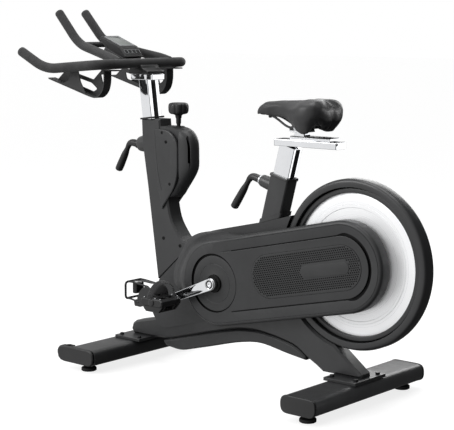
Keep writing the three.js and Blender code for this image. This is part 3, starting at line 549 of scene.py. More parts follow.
def cutter(name, outline, low, high):
    """A plain prism used only to cut another piece."""
    points = [V(x, y, z) for y in (low, high) for x, z in outline]
    mesh = bpy.data.meshes.new(name)
    mesh.from_pydata([tuple(p) for p in points], [], slab_faces(len(outline)))
    outward(mesh)
    return link(name, mesh)


def box_outline(x0, x1, z0, z1, radius=0.0):
    return rounded([(x0, z0), (x1, z0), (x1, z1), (x0, z1)], radius)


def bolt(name, at, direction, radius, height, body, kind="hex", material=None, slot="dark_steel"):
    """A bolt head: six flats with a chamfer, or a round cap with a hexagon recess."""
    apothem = math.cos(math.pi / 6)

    def six(angle, r, h):
        if r < radius * 0.8:
            return r
        turn = (angle + math.pi / 6) % (math.pi / 3) - math.pi / 6
        return min(r, radius * apothem / math.cos(turn))

    if kind == "hex":
        profile = [(radius * 1.25, 0), (radius * 1.25, 1.0), (radius * 0.99, 1.2), (radius, 1.3),
                   (radius, height - 1.2), (radius * 0.82, height), (0, height)]
        return lathe(name, profile, at, direction, material or DARK_STEEL, body, slot, 48, shape=six,
                     angle=28)

    def recess(angle, r, h):
        if r > radius * 0.6:
            return r
        turn = (angle + math.pi / 6) % (math.pi / 3) - math.pi / 6
        return r * apothem / math.cos(turn)

    profile = [(radius, -0.5), (radius, height * 0.55), (radius * 0.8, height * 0.92),
               (radius * 0.62, height), (radius * 0.52, height), (radius * 0.5, height - 0.3),
               (radius * 0.48, height * 0.25), (0, height * 0.2)]
    return lathe(name, profile, at, direction, material or DARK_STEEL, body, slot, 48, shape=recess, angle=35)


# ---------------------------------------------------------------- base
refine("main_beam", PAINT, "frame_paint", 2.0, segments=3)
refine("lower_cover", COVER, "cover_plastic", 1.0)
for end, x in (("front", -399.0), ("rear", 491.0)):
    outer = rounded([(x - 61.5, 25), (x + 61.5, 25), (x + 61.5, 77), (x - 61.5, 77)], 24, 8)
    inner = rounded([(x - 57.5, 29), (x + 57.5, 29), (x + 57.5, 73), (x - 57.5, 73)], 20, 8)
    plate(f"{end}_stabilizer_tube", [outer, inner], -269.7, 269.7, *FRAME_PAINT, 0.4,
          replaces=(f"{end}_stabilizer",))
    for side, s in SIDES:
        if end == "front":
            refine(f"{side}_front_end_cap", BLACK, "black_plastic", 1.6, segments=3)
        else:
            shell = rounded([(x - 62.5, 24), (x + 62.5, 24), (x + 62.5, 78), (x - 62.5, 78)], 25, 8)
            low, high = sorted((s * 280, s * 270))
            plate(f"{side}_rear_cap_skin", [shell], low, high, *FRAME_BLACK, 3.0,
                  replaces=(f"{side}_rear_end_cap",))
        # levelling foot: ribbed rubber pad on a threaded stud
        fx = -399.0 if end == "front" else 498.0
        pad = [(0, 0), (22.5, 0), (24.4, 1.2), (25, 2.6), (25, 4), (24.2, 4.6), (24.2, 5.4), (25, 6),
               (25, 8.6), (24, 10.4), (19.5, 13), (14, 14.4), (11, 15), (0, 15)]
        lathe(f"{side}_{end}_foot_pad", pad, (fx, s * 238.5, 0), (0, 0, 1), RUBBER,
              f"{side}_{end}_foot_turn", "black_rubber", 64, replaces=(f"{side}_{end}_foot",), angle=30)
        stud = [(0, 14)]
        for k in range(8):
            stud += [(6.2, 14.2 + 1.25 * k), (5.3, 14.8 + 1.25 * k)]
        stud.append((0, 24.4))
        lathe(f"{side}_{end}_foot_stud", stud, (fx, s * 238.5, 0), (0, 0, 1), BOLT, f"{side}_{end}_foot_turn",
              "dark_steel", 24, angle=50)
    span = (-418, -338) if end == "front" else (447, 533)
    for bx in span:
        for s in (-1, 1):
            inset = 66 if end == "front" else 56
            bolt(f"{end}_plate_bolt_{'f' if bx == span[0] else 'r'}{'l' if s < 0 else 'r'}",
                 (bx, s * inset, 86.9), (0, 0, 1), 7.5, 6.5, "frame")
for side, s in SIDES:
    tyre = [(15.6, -11), (21, -11), (22.8, -10.2), (23.8, -8), (24, -5), (24, 5), (23.8, 8), (22.8, 10.2),
            (21, 11), (15.6, 11), (15.2, 9), (14.4, 8.2), (9.5, 8), (9, 10.6), (8.2, 11), (4.6, 11),
            (4.6, -11), (8.2, -11), (9, -10.6), (9.5, -8), (14.4, -8.2), (15.2, -9), (15.6, -11)]
    lathe(f"{side}_roller", tyre, (-495, s * 257, 50), (0, 1, 0), RUBBER, f"{side}_wheel", "black_rubber", 64,
          replaces=(f"{side}_transport_wheel",), angle=40)


# ---------------------------------------------------------------- ring and flywheel
ring = [(229.5, -23.5), (230.2, -24.6), (231.5, -25), (243, -25), (247.5, -24), (250.8, -21.6), (253, -17.5),
        (254, -12), (254, 12), (253, 17.5), (250.8, 21.6), (247.5, 24), (243, 25), (231.5, 25), (230.2, 24.6),
        (229.5, 23.5), (229.5, -23.5)]
lathe("outer_ring", ring, HUB_AT, (0, 1, 0), *FRAME_PAINT, 192, replaces=("wheel_ring",),
      angle=38)
# A near-black annulus behind the gap between the ring and the flywheel rim: painted shade in the gap.
gap_shade = [(221.5, 17.6), (230.6, 17.6), (230.6, 21), (221.5, 21), (221.5, 17.6)]
lathe("ring_gap_shade", gap_shade, HUB_AT, (0, 1, 0), DEEP, "frame", "frame_paint", 192, angle=38)
rim = [(211.6, -7.6), (212.4, -13.4), (213.6, -14.7), (215, -15), (224, -15), (225.4, -14.5), (226, -13.2),
       (226, 13.2), (225.4, 14.5), (224, 15), (215, 15), (213.6, 14.7), (212.4, 13.4), (211.6, 7.6),
       (211.6, -7.6)]
lathe("flywheel_rim", rim, HUB_AT, (0, 1, 0), PAINT, "flywheel_set", "frame_paint", 192, angle=38)
disc = [(10.4, -26), (22.5, -26), (24, -24.6), (24.4, -12), (26, -8.4), (29, -7.5), (168, -7.5),
        (169.2, -8.6), (176.8, -8.6), (178, -7.5), (206, -7.5), (209, -6.6), (211.4, -6.2), (211.4, 6.2),
        (209, 6.6), (206, 7.5), (178, 7.5), (176.8, 8.6), (169.2, 8.6), (168, 7.5), (29, 7.5), (26, 8.4),
        (24.4, 12), (24, 24.6), (22.5, 26), (10.4, 26), (10.4, -26)]
lathe("flywheel_disc", disc, HUB_AT, (0, 1, 0), DISC, "flywheel_set", "flywheel_steel", 192,
      replaces=("flywheel",), angle=30)
refine("flywheel_axle", CHROME, "chrome_bright", 1.0)
for side, s in SIDES:
    bolt(f"{side}_axle_nut", (HUB[0], s * 30.4, HUB[1]), (0, s, 0), 14.5, 9, "frame", material=BOLT)


# ---------------------------------------------------------------- hidden drive
refine("flywheel_pulley", DARK_STEEL, "dark_steel", 0.3)
refine("drive_pulley", BLACK, "black_plastic", 0.3)
refine("drive_belt", RUBBER, "black_rubber", 0.2)
refine("drive_fork", DARK_STEEL, "dark_steel", 0.5)
refine("magnet_arm", DARK_STEEL, "dark_steel", 0.3)
refine("crank_axle", DARK_STEEL, "dark_steel", 0.8)


# ---------------------------------------------------------------- body shells
for side in ("left", "right"):
    refine(f"{side}_body_shell", COVER, "cover_plastic", 1.2, segments=3)

AXIS = Vector((HUB[0], HUB[1] - CRANK_Z)).normalized()
SPAN = math.hypot(HUB[0], HUB[1] - CRANK_Z)


def stadium_stations():
    """(centre x, centre z, outward angle) round the cover, anticlockwise from under the flywheel end."""
    head = math.atan2(AXIS.y, AXIS.x)
    stations = []
    for k in range(72):
        angle = head - math.pi / 2 + math.pi * k / 72
        stations.append((HUB[0], HUB[1], angle))
    for k in range(40):
        t = k / 40
        stations.append((HUB[0] * (1 - t), HUB[1] + (CRANK_Z - HUB[1]) * t, head + math.pi / 2))
    for k in range(72):
        angle = head + math.pi / 2 + math.pi * k / 72
        stations.append((0.0, CRANK_Z, angle))
    for k in range(40):
        t = k / 40
        stations.append((HUB[0] * t, CRANK_Z + (HUB[1] - CRANK_Z) * t, head + 1.5 * math.pi))
    return stations


def ease(t):
    t = max(0.0, min(1.0, t))
    return t * t * (3 - 2 * t)


STATIONS = stadium_stations()
COVER_RADIUS = 137            # outer edge of the drive cover
GROOVE_RADIUS = 92.0          # inner edge of the groove round the drive cover


def cover_skin(name, radius, face, back, sign, material, body, slot, replaces, blend=None, groove=True):
    """A shallow belt-shaped cover: a rounded rim, a seam and, on the drive side, a deep groove."""
    rows = []
    depth = abs(face)
    wall = abs(back)
    for cx, cz, angle in STATIONS:
        ux, uz = math.cos(angle), math.sin(angle)
        steep = [(radius, wall), (radius, depth - 12), (radius - 0.6, depth - 8), (radius - 2.2, depth - 4.6),
                 (radius - 4.8, depth - 1.9), (radius - 8, depth - 0.4), (radius - 10, depth)]
        share, reach = blend(cx, angle) if blend else (0.0, radius)
        inner = radius - 10
        soft = []
        for k in range(len(steep)):
            t = k / (len(steep) - 1)
            soft.append((reach + (inner - reach) * t, wall + (depth - wall) * ease(t) if k else wall))
        profile = [(a[0] * (1 - share) + b[0] * share, a[1] * (1 - share) + b[1] * share)
                   for a, b in zip(steep, soft)]
        seam = 1.3 * (1 - 0.85 * share)
        profile += [(inner - 0.3, depth - 0.15), (inner - 0.7, depth - seam), (inner - 1.9, depth - seam),
                    (inner - 2.4, depth)]
        if groove:
            along = (cx * AXIS.x + (cz - CRANK_Z) * AXIS.y) + 60 * (ux * AXIS.x + uz * AXIS.y)
            fade = ease((along - 40) / 40)
            rear = ease((ux * AXIS.x + uz * AXIS.y + 0.12) / 0.45)
            wide, deep = 1.8 + 8.6 * rear, (1.6 + 5.6 * rear) * fade
            edge = GROOVE_RADIUS
            profile += [(edge + wide + 1.5, depth), (edge + wide + 0.5, depth - 0.3 * fade),
                        (edge + wide, depth - deep), (edge + 0.4, depth - deep), (edge, depth - 0.5 * fade),
                        (edge - 0.9, depth), (edge - 2, depth)]
        else:
            profile += [(90, depth)]
        rows.append([(cx + r * ux, sign * y, cz + r * uz) for r, y in profile])
    count, steps = len(rows), len(rows[0])
    points = [p for row in rows for p in row]
    faces = grid_faces(count, steps)
    faces.append([i * steps + steps - 1 for i in range(count)])
    faces.append([i * steps for i in range(count)][::-1])
    return solid(name, points, faces, material, body, slot, replaces=replaces, angle=24)


def front_blend(cx, angle):
    """The upper front of the drive cover runs out softly into the body's side."""
    if cx > 1.0:
        if math.sin(angle) > 0.5:
            t = ease(1 - cx / 170)
            return t, COVER_RADIUS + 26 * t
        return 0.0, COVER_RADIUS
    turn = math.degrees(angle) % 360
    if turn < 102.4:
        return 1.0, 163
    if turn < 150:
        return 1.0, 163 + 30 * ease((turn - 102.4) / 47.6)
    if turn < 185:
        return 1.0, 193 + 22 * ease((turn - 150) / 35)
    if turn < 222:
        t = 1 - ease((turn - 185) / 37)
        return t, COVER_RADIUS + 78 * t
    return 0.0, COVER_RADIUS


left_cover = cover_skin("belt_cover_skin", COVER_RADIUS, -72, -30.6, -1, *FRAME_COVER, ("belt_cover",),
                        front_blend)
right_skin = cover_skin("right_cover_skin", 122, 60, 30.6, 1, *FRAME_COVER, ("right_cover",),
                        groove=False)
PANEL_A, PANEL_B = (218.0, 362.0), HUB
DISC_WELL = (-4.6, CRANK_Z + 0.6)
DISC_AT = (0, -72, CRANK_Z)
carve(left_cover, cutter("cut_panel", oblong(PANEL_A, PANEL_B, 68.2, 32), -90, -70.2),
      cutter("cut_disc", circle(*DISC_WELL, 93.4, 96), -90, -65.0),
      cutter("cut_bore", circle(0, CRANK_Z, 28, 48), -90, -60))
carve(right_skin, cutter("cut_right_bore", circle(0, CRANK_Z, 17, 48), 40, 90))
for cover in (left_cover, right_skin):
    resurface(cover, COVER, 24)
# Faces on the floor of the groove and of the well round the crank disc take the near-black material: painted
# shade in the recesses.
left_cover.data.materials.append(DEEP)
for face in left_cover.data.polygons:
    at = face.center / MM
    x, z = at.x - SHIFT_X, at.z
    along = max(0.0, min(SPAN, x * AXIS.x + (z - CRANK_Z) * AXIS.y))
    out = math.hypot(x - along * AXIS.x, z - CRANK_Z - along * AXIS.y)
    in_groove = 91.9 < out < 103 and -71.3 < at.y and x > 60
    in_well = math.hypot(x - DISC_WELL[0], z - DISC_WELL[1]) < 93.6 and -71.7 < at.y and x < 110
    if in_groove or in_well:
        face.material_index = 2

# crank disc: a dished plate with two shallow steps and a raised collar round the axle
dish = [(17, -6), (17, 7), (18, 7.6), (25.6, 7.6), (27, 6.4), (27.4, 1.6), (29, 0.9), (61, 0.7), (62, 0.1),
        (63, 0.7), (84.5, 0.9), (87, 0.3), (88, -1.4), (88, -2.6), (30, -2.9), (17, -6)]
lathe("crank_disc", dish, DISC_AT, (0, -1, 0), PANEL, "frame", "cover_plastic", 128,
      replaces=("crank_cover",), angle=28)

hub_ring = [(17, 7.4), (17, 8.2), (26.8, 8.2), (28.4, 6.6), (28.6, 0.9), (27, 0.9)]
lathe("crank_disc_collar", hub_ring, DISC_AT, (0, -1, 0), DEEP, "frame", "cover_plastic", 96, angle=28)

# perforated panel over a near-black sheet, painted shade seen through the holes, with a blank badge
badge_a, badge_b = (358.0, 392.8), (498.0, 421.2)
holes = []
HOLE_PITCH, HOLE_RADIUS = 7.4, 2.45
FIELD_RADIUS, BADGE_MARGIN, PANEL_RADIUS = 62.5, 21.5, 67
length = (Vector(PANEL_B) - Vector(PANEL_A)).length
span = (Vector(badge_b) - Vector(badge_a)).length
for row in range(-9, 10):
    for col in range(-40, 100):
        u = col * HOLE_PITCH + (HOLE_PITCH / 2 if row % 2 else 0)
        v = row * HOLE_PITCH * 0.866
        x = PANEL_A[0] + u * AXIS.x - v * AXIS.y
        z = PANEL_A[1] + u * AXIS.y + v * AXIS.x
        t = max(0.0, min(length, u))
        if math.hypot(u - t, v) > FIELD_RADIUS:
            continue
        bu = (x - badge_a[0]) * AXIS.x + (z - badge_a[1]) * AXIS.y
        bv = -(x - badge_a[0]) * AXIS.y + (z - badge_a[1]) * AXIS.x
        bt = max(0.0, min(span, bu))
        if math.hypot(bu - bt, bv) < BADGE_MARGIN:
            continue
        holes.append(circle(x, z, HOLE_RADIUS, 8))
plate("perforated_face", [oblong(PANEL_A, PANEL_B, PANEL_RADIUS, 32)] + holes, -73.1, -71.6, PANEL, "frame",
      "black_plastic", 0.25, replaces=("perforated_panel",))
# near-black sheet under the holes: painted shade
plate("panel_hole_shade", [oblong(PANEL_A, PANEL_B, 66.6, 24)], -71.4, -70.3, DEEP, "frame", "black_plastic",
      0.2)
plate("blank_badge", [oblong(badge_a, badge_b, 18, 20)], -74.4, -72.9, PANEL, "frame", "cover_plastic", 0.6)


# ---------------------------------------------------------------- front column
def prism(name, rings, material, body, slot, **options):
    """A closed skin through rings of equal length, capped at both ends."""
    count = len(rings[0])
    points = [p for ring in rings for p in ring]
    faces = tube_faces(len(rings), count)
    faces.append(list(range(count))[::-1])
    faces.append([(len(rings) - 1) * count + k for k in range(count)])
    return solid(name, points, faces, material, body, slot, **options)


def band(width, depth, corner, count=6):
    """A rounded rectangle in its own plane: first number along X, second along Y."""
    return rounded([(-width, -depth), (width, -depth), (width, depth), (-width, depth)], corner, count)


def tilted(x, z, degrees):
    """Placement of an upright bar leaning about the Y axis, its top towards -X for a positive lean."""
    turn = math.radians(degrees)
    up = Vector((-math.sin(turn), 0, math.cos(turn)))
    along = Vector((math.cos(turn), 0, math.sin(turn)))
    base = Vector((x, 0, z))
    return lambda u, v, w: tuple(base + along * u + Vector((0, v, 0)) + up * w)


def bar_piece(name, place, outlines, material, body, slot, **options):
    """A bar skinned through (height, outline) sections in a tilted frame."""
    rings = [[place(u, v, w) for u, v in outline] for w, outline in outlines]
    return prism(name, rings, material, body, slot, **options)


def thinning(x):
    """How thick a column cover is at x: it runs out to a feather edge at the front."""
    return 0.05 + 0.95 * max(0.0, min(1.0, (x + 298) / 100))


refine("front_column", PAINT, "frame_paint", 1.6, segments=3)
for side, s in SIDES:
    low, high = sorted((s * 30.3, s * 42))
    outer = rounded([(-298, 782), (-222, 778, 24), (-186, 744, 24), (-186, 640, 30), (-198, 600, 30),
                     (-262, 520), (-282, 600), (-296, 700)], 3, 8)
    inner = rounded([(-292, 757), (-238, 753, 14), (-218, 730, 14), (-221, 642, 20), (-262, 580, 8),
                     (-280, 640), (-290, 715)], 6, 8)
    base = plate(f"{side}_column_cover_skin", [outer], low, high, *FRAME_COVER, 4.5,
                 replaces=(f"{side}_column_cover",))
    well = cutter(f"cut_{side}_well", inner, *sorted((s * 40.2, s * 60)))
    carve(base, well)
    for point in base.data.vertices:
        point.co.y = s * MM * (30.3 + (abs(point.co.y) / MM - 30.3) * thinning(point.co.x / MM - SHIFT_X))
    resurface(base, COVER, 30)
    for i, (x, z) in enumerate(((-258, 770), (-240, 741), (-222, 606))):
        depth = 42.2 if i != 1 else 41.6
        at = 30.3 + (depth - 30.3) * thinning(x)
        bolt(f"{side}_cover_screw_{i + 1}", (x, s * (at - 0.4), z), (0, s, 0), 5.2, 1.6, "frame", "cap", DEEP,
             "black_plastic")
    for i, (x, z) in enumerate(((-259, 425), (-186, 407))):
        bolt(f"{side}_column_screw_{i + 1}", (x, s * 30.0, z), (0, s, 0), 5.8, 1.6, "frame", "cap", DEEP,
             "black_plastic")


def along_table(table, at):
    """Reads a smooth value out of (position, value) rows."""
    if at <= table[0][0]:
        return table[0][1]
    for (a, u), (b, v) in zip(table, table[1:]):
        if at <= b:
            return u + (v - u) * (at - a) / (b - a)
    return table[-1][1]


HOUSING_REAR = [(559, -228), (561, -217), (565, -207.5), (573, -199), (600, -178.5), (625, -159.6),
                (640, -149.5), (652, -143), (664, -139.8), (680, -139), (725, -139.4), (742, -141),
                (754, -145), (766, -152.6), (776, -163), (783, -175), (787, -187), (789.2, -200), (790, -214)]
HOUSING_HALF = [(559, 24), (563, 30), (572, 34), (590, 36.4), (640, 37), (760, 37), (776, 35.6), (785, 32.6),
                (790, 28)]
HOUSING_FRONT = [(500, -229), (552, -240), (640, -257), (815, -273)]
levels = [559, 559.8, 561, 562.6, 565, 568.6, 573, 580, 588, 597, 606, 616, 626, 636, 646, 656, 666, 680, 700,
          720, 736, 748, 757, 765, 771, 776, 780, 783.4, 786, 788, 789.2, 790]
rings = []
for z in levels:
    rear, half, front = (along_table(t, z) for t in (HOUSING_REAR, HOUSING_HALF, HOUSING_FRONT))
    deep = min(54.0, rear - front - 4)
    ring = [(front, -half, z)]
    for k in range(33):
        a = math.radians(-90 + 180 * k / 32)
        c, d = max(0.0, math.cos(a)) ** 0.87, math.copysign(abs(math.sin(a)) ** 0.87, a)
        ring.append((rear - deep + deep * c, half * d, z))
    rings.append(ring + [(front, half, z)])
housing = prism("resistance_housing_skin", rings, *FRAME_COVER, replaces=("resistance_housing",))
beside = box_outline(-400, -185.4, 500, 900)
inside = rounded([(-300, 785, 2), (-204, 784, 18), (-150, 746, 22), (-146, 660, 22), (-212, 572, 10),
                  (-300, 572)], 4, 6)
carve(housing, cutter("cut_left_cheek", beside, -60, -30.1), cutter("cut_right_cheek", beside, 30.1, 60),
      cutter("cut_hollow", inside, -24, 24), cutter("cut_stem_hole", box_outline(-226, -208, 780, 800), -9,
                                                    9), cutter("cut_slot",
                                                               rounded([(-160, 677), (-120, 677), (-120, 764),
                                                                        (-160, 764)], 1.0, 2), -27.2, -20.4),
      cutter("cut_far_slot", rounded([(-160, 677), (-120, 677), (-120, 764), (-160, 764)], 1.0, 2), 20.4,
             27.2))
resurface(housing, COVER, 32)

# round boss of the front clamp
boss = [(0, -6), (29, -6), (29, 4), (28.4, 14), (27, 26), (25.2, 36), (24.2, 40), (22.6, 41.6), (14, 41.8),
        (13.4, 43), (13, 47.4), (12.2, 48.2), (0, 48.2)]
lathe("front_clamp_boss", boss, (-346, 0, 729), (-40, 0, -5), *FRAME_PAINT, 64, angle=32)


# ---------------------------------------------------------------- resistance knob and clamp levers
def lobed(angle, radius, height):
    if radius < 24:
        return radius
    return radius - 1.6 + 2.6 * abs(math.cos(4 * angle)) ** 0.6


knob = [(0, 867.4), (9, 867.3), (14, 866.6), (15, 866.9), (23, 866.4), (27.6, 865), (30.4, 862),
        (31.6, 857.6), (32, 850), (31.6, 842), (30.2, 836.4), (27.4, 832.4), (23.6, 830.4), (18, 829.6),
        (13, 828), (10.6, 825), (10, 819), (8.4, 816), (8, 801), (6.6, 798), (6, 792), (6, 745), (0, 745)]
lathe("knob_grip", [(r, h - 745) for r, h in knob], (-217, 0, 745), (0, 0, 1), BLACK, "knob", "black_plastic",
      192, shape=lobed, replaces=("resistance_knob",), angle=34)
collar = [(20.5, 0), (20.5, 2.2), (19, 3.6), (11, 3.8), (9.4, 3.0), (9.4, 0), (20.5, 0)]
lathe("knob_collar", collar, (-217, 0, 787.8), (0, 0, 1), *FRAME_BLACK, 64, angle=34)


def lever(name, neck, elbow, tip, body, node, ring_look):
    """A moulded clamp lever: a round bar through an eased elbow, narrowing at a waist and swelling at the
    grip, with a washer at the neck.
    """
    neck, elbow, tip = Vector(neck), Vector(elbow), Vector(tip)
    end = tip + (tip - elbow).normalized() * 9
    path = smooth_path([neck, elbow, end], 17, 12, 5.0)

    def reach(t):
        waist = 12.2 - 3.6 * math.exp(-((t - 0.42) / 0.13) ** 2)
        return waist - 0.6 * ease(t * 3) + 0.9 * math.exp(-((t - 0.9) / 0.16) ** 2)

    sweep(name, path, reach, BLACK, body, "black_plastic", 28, dome=0.55, replaces=(node,),
          flat=((0, 1, 0), 1.12), angle=50)
    d = (elbow - neck).normalized()
    ring = [(10, 0), (14.4, 0), (15, 0.8), (15, 5.2), (14.4, 6), (10, 6), (10, 0)]
    lathe(name + "_washer", ring, neck + d * 0.4, d, ring_look, body, "dark_steel", 48, angle=40)


lever("front_lever_grip", (-395.6, 0, 723), (-437, 0, 727.67), (-486, 0, 642), "front_lever",
      "front_clamp_lever", BLACK)
lean = math.radians(15)
SEAT_NORMAL = Vector((-math.cos(lean), 0, math.sin(lean)))
SEAT_DOWN = Vector((-math.sin(lean), 0, -math.cos(lean)))
SEAT_FACE = Vector((219, 0, 662.5)) + SEAT_NORMAL * 35 + SEAT_DOWN * 42
lever("rear_lever_grip", SEAT_FACE + SEAT_NORMAL * 44, SEAT_FACE + SEAT_NORMAL * 88, (26, 0, 560),
      "rear_lever", "rear_clamp_lever", BOLT)


# ---------------------------------------------------------------- seat tube, post, slider
refine("seat_tube", PAINT, "frame_paint", 1.2, segments=3)
seat_boss = [(0, -4), (21.4, -4), (21.2, 3), (20.6, 18), (19.2, 38), (18.4, 41.4), (17.2, 42.8), (11, 43),
             (0, 43)]
lathe("rear_clamp_boss", seat_boss, SEAT_FACE, SEAT_NORMAL, *FRAME_PAINT, 56, angle=32)
on_seat = tilted(219, 662.5, -15)
collar_out = band(37.2, 29.2, 9)
rings = []
for w, outline in ((-7, collar_out), (-1, collar_out), (0.8, band(36.2, 28.2, 9)),
                   (1.4, band(34.6, 26.6, 8))):
    rings.append([on_seat(u, v, w) for u, v in outline])
for w, outline in ((1.4, band(30.6, 21.4, 4)), (0.4, band(29.9, 20.9, 4)), (-7, band(29.9, 20.9, 4))):
    rings.append([on_seat(u, v, w) for u, v in outline])
faces = tube_faces(len(rings), len(rings[0]), closed=True)
solid("seat_tube_lip", [p for ring in rings for p in ring], faces, *FRAME_BLACK, angle=30)

post = [(-245, band(28, 19, 4)), (-244, band(29.5, 20.5, 4)), (95, band(29.5, 20.5, 4))]
bar_piece("seat_post_bar", on_seat, post, *POST_CHROME, replaces=("seat_post",), angle=30)
# Black bands down the middle of the post's rear and front faces: painted dark reflection on the chrome.
dark_reflection = [(-243, band(0.5, 10, 0.4, 2)), (93, band(0.5, 10, 0.4, 2))]
rear_reflection = [(w, [(u + 29.7, v) for u, v in o]) for w, o in dark_reflection]
bar_piece("seat_post_rear_reflection", on_seat, rear_reflection, *POST_BLACK, angle=30)
front_reflection = [(w, [(u - 29.7, v) for u, v in o]) for w, o in dark_reflection]
bar_piece("seat_post_front_reflection", on_seat, front_reflection, *POST_BLACK, angle=30)

section = rounded([(-25, 755), (25, 755), (25, 776), (-25, 776)], 3, 5)
rings = [[(x, y, z) for y, z in section] for x in (199.4, 427.4)]
prism("slider_tube", rings, *POST_CHROME, angle=30)
seam = rounded([(-24.2, 755.8), (24.2, 755.8), (24.2, 775.2), (-24.2, 775.2)], 3, 5)
small = rounded([(-24, 756), (24, 756), (24, 775), (-24, 775)], 3, 5)
for end, x0, x1, x2, x3 in (("front", 199.6, 198.6, 197.8, 197.0), ("rear", 427.2, 428.4, 429.2, 430.0)):
    prism(f"slider_{end}_seam", [[(x, y, z) for y, z in seam] for x in (x0, x1)], DEEP, "seat_post_set",
          "black_plastic")
    shapes = ((x1, section), (x2, section), (x3, small))
    prism(f"slider_{end}_plug", [[(x, y, z) for y, z in o] for x, o in shapes], *POST_CHROME)
# A thin black sheet along the top of the slider tube: painted shadow of the carriage above it.
plate("slider_top_shadow", [rounded([(203, 775.6), (425, 775.6), (425, 776.3), (203, 776.3)], 0.2, 2)], -22.5, 22.5,
      *POST_BLACK, 0.1)
# A thin black strip on top of the slide plate: painted shadow under the saddle.
plate("slide_plate_shadow", [rounded([(259, 785.2), (405, 785.2), (405, 787.4), (259, 787.4)], 0.6, 3)], -23.6, 23.6,
      BLACK, "saddle_set", "black_plastic", 0.4)
refine("slide_block", CHROME, "chrome_bright", 0.8)


# ---------------------------------------------------------------- saddle
def between(table, x):
    """Smooth interpolation in a table of (x, value)."""
    if x <= table[0][0]:
        return table[0][1]
    for (xa, a), (xb, b) in zip(table, table[1:]):
        if x <= xb:
            return a + (b - a) * ease((x - xa) / (xb - xa))
    return table[-1][1]


PLAN = [(117, 0), (118.5, 10), (124, 18.5), (137, 24), (165, 27), (198, 30), (226, 35), (252, 44), (275, 56),
        (298, 69), (320, 79), (341, 83.5), (360, 82.5), (378, 75), (390.5, 62), (398, 46), (402, 30),
        (403, 18), (401, 8), (399, 0)]
TOP = [(117, 862), (133, 875), (160, 886), (210, 889), (290, 890), (345, 898), (378, 901), (394, 894),
       (404, 882)]
SIDE_DROP = [(117, 847), (155, 844.5), (197, 842), (236, 839), (264, 831), (292, 815), (314, 801), (335, 795),
             (352, 799), (368, 812), (380, 826), (388, 832)]
REAR_DROP = [(0, 814), (36, 813), (47, 817), (56, 825), (64, 831)]
UNDER = [(117, 850), (200, 846), (300, 841), (406, 838)]


def plan_points(count):
    """The saddle's outline in plan, evenly spaced, from the nose round the rider's left side to the tail."""
    nodes = [Vector((x, -y)) for x, y in PLAN]
    fine = []
    for i in range(len(nodes) - 1):
        p0, p1 = nodes[max(i - 1, 0)], nodes[i]
        p2, p3 = nodes[i + 1], nodes[min(i + 2, len(nodes) - 1)]
        if i == 0:
            p0 = Vector((p2.x, -p2.y))
        if i == len(nodes) - 2:
            p3 = Vector((p1.x, -p1.y))
        for k in range(12):
            t = k / 12
            fine.append(0.5 * (2 * p1 + (p2 - p0) * t + (2 * p0 - 5 * p1 + 4 * p2 - p3) * t * t
                               + (3 * p1 - 3 * p2 + p3 - p0) * t ** 3))
    fine.append(nodes[-1])
    lengths = [0.0]
    for p, q in zip(fine, fine[1:]):
        lengths.append(lengths[-1] + (q - p).length)
    points, i = [], 0
    for k in range(count + 1):
        goal = lengths[-1] * k / count
        while i < len(fine) - 2 and lengths[i + 1] < goal:
            i += 1
        t = (goal - lengths[i]) / max(1e-9, lengths[i + 1] - lengths[i])
        points.append(fine[i].lerp(fine[i + 1], t))
    return points


HALF_COUNT = 90
LEFT_PLAN = plan_points(HALF_COUNT)
OUTLINE = LEFT_PLAN + [Vector((p.x, -p.y)) for p in LEFT_PLAN[-2:0:-1]]
CROWN = [0.0, 0.12, 0.26, 0.42, 0.58, 0.72, 0.84, 0.93, 0.98, 1.0]


def saddle_point(i, k):
    """A point of the pad: i round the outline, k from 0 at the spine to 9 at the rim and 17 underneath."""
    edge = OUTLINE[i % len(OUTLINE)]
    x_spine = max(140.0, min(360.0, edge.x))
    spine = Vector((x_spine, 0.0))
    top = between(TOP, edge.x)
    rear = ease((edge.x - 330) / 70)
    drop = between(REAR_DROP, abs(edge.y)) if edge.x > 388 else between(SIDE_DROP, edge.x)
    shoulder = top - 22 - 6 * ease((edge.x - 240) / 90)
    top_here = between(TOP, x_spine)
    if k <= 9:
        r = CROWN[k]
        flat = spine.lerp(edge, r)
        lift = top_here + (top - top_here) * r
        z = lift - (lift - shoulder) * (1 - math.sqrt(max(0.0, 1 - r ** 3.4)))
        channel = 3.4 * math.exp(-(abs(flat.y) / 9.0) ** 2) * ease((flat.x - 150) / 60)
        channel *= 1 - ease((flat.x - 330) / 50)
        return Vector((flat.x, flat.y, z - channel))
    into = (spine - edge).normalized() if (spine - edge).length > 1 else Vector((1, 0))
    lobe = math.exp(-((edge.x - 326) / 42) ** 2)
    below = [0.25, 0.5, 0.74, 0.92, 1.0, 1.0, 0.86]
    tuck = [-1.2 * lobe, 1.2, 5 + 3 * rear, 9 + 5 * rear, 13 + 5 * rear, 16 + 5 * rear, 20 + 6 * rear]
    if k <= 16:
        j = k - 10
        z = shoulder + (drop - shoulder) * below[j] + (3.0 if j == 5 else 0.0)
        amount = tuck[j] * (1 + 0.7 * lobe) * (0.45 if edge.x < 180 else 1.0)
        flat = edge + into * min(amount, (spine - edge).length * 0.9)
        return Vector((flat.x, flat.y, z))
    flat = edge + into * (spine - edge).length * (0.6 if k == 17 else 1.0)
    return Vector((flat.x, flat.y, max(between(UNDER, flat.x), drop + 4)))


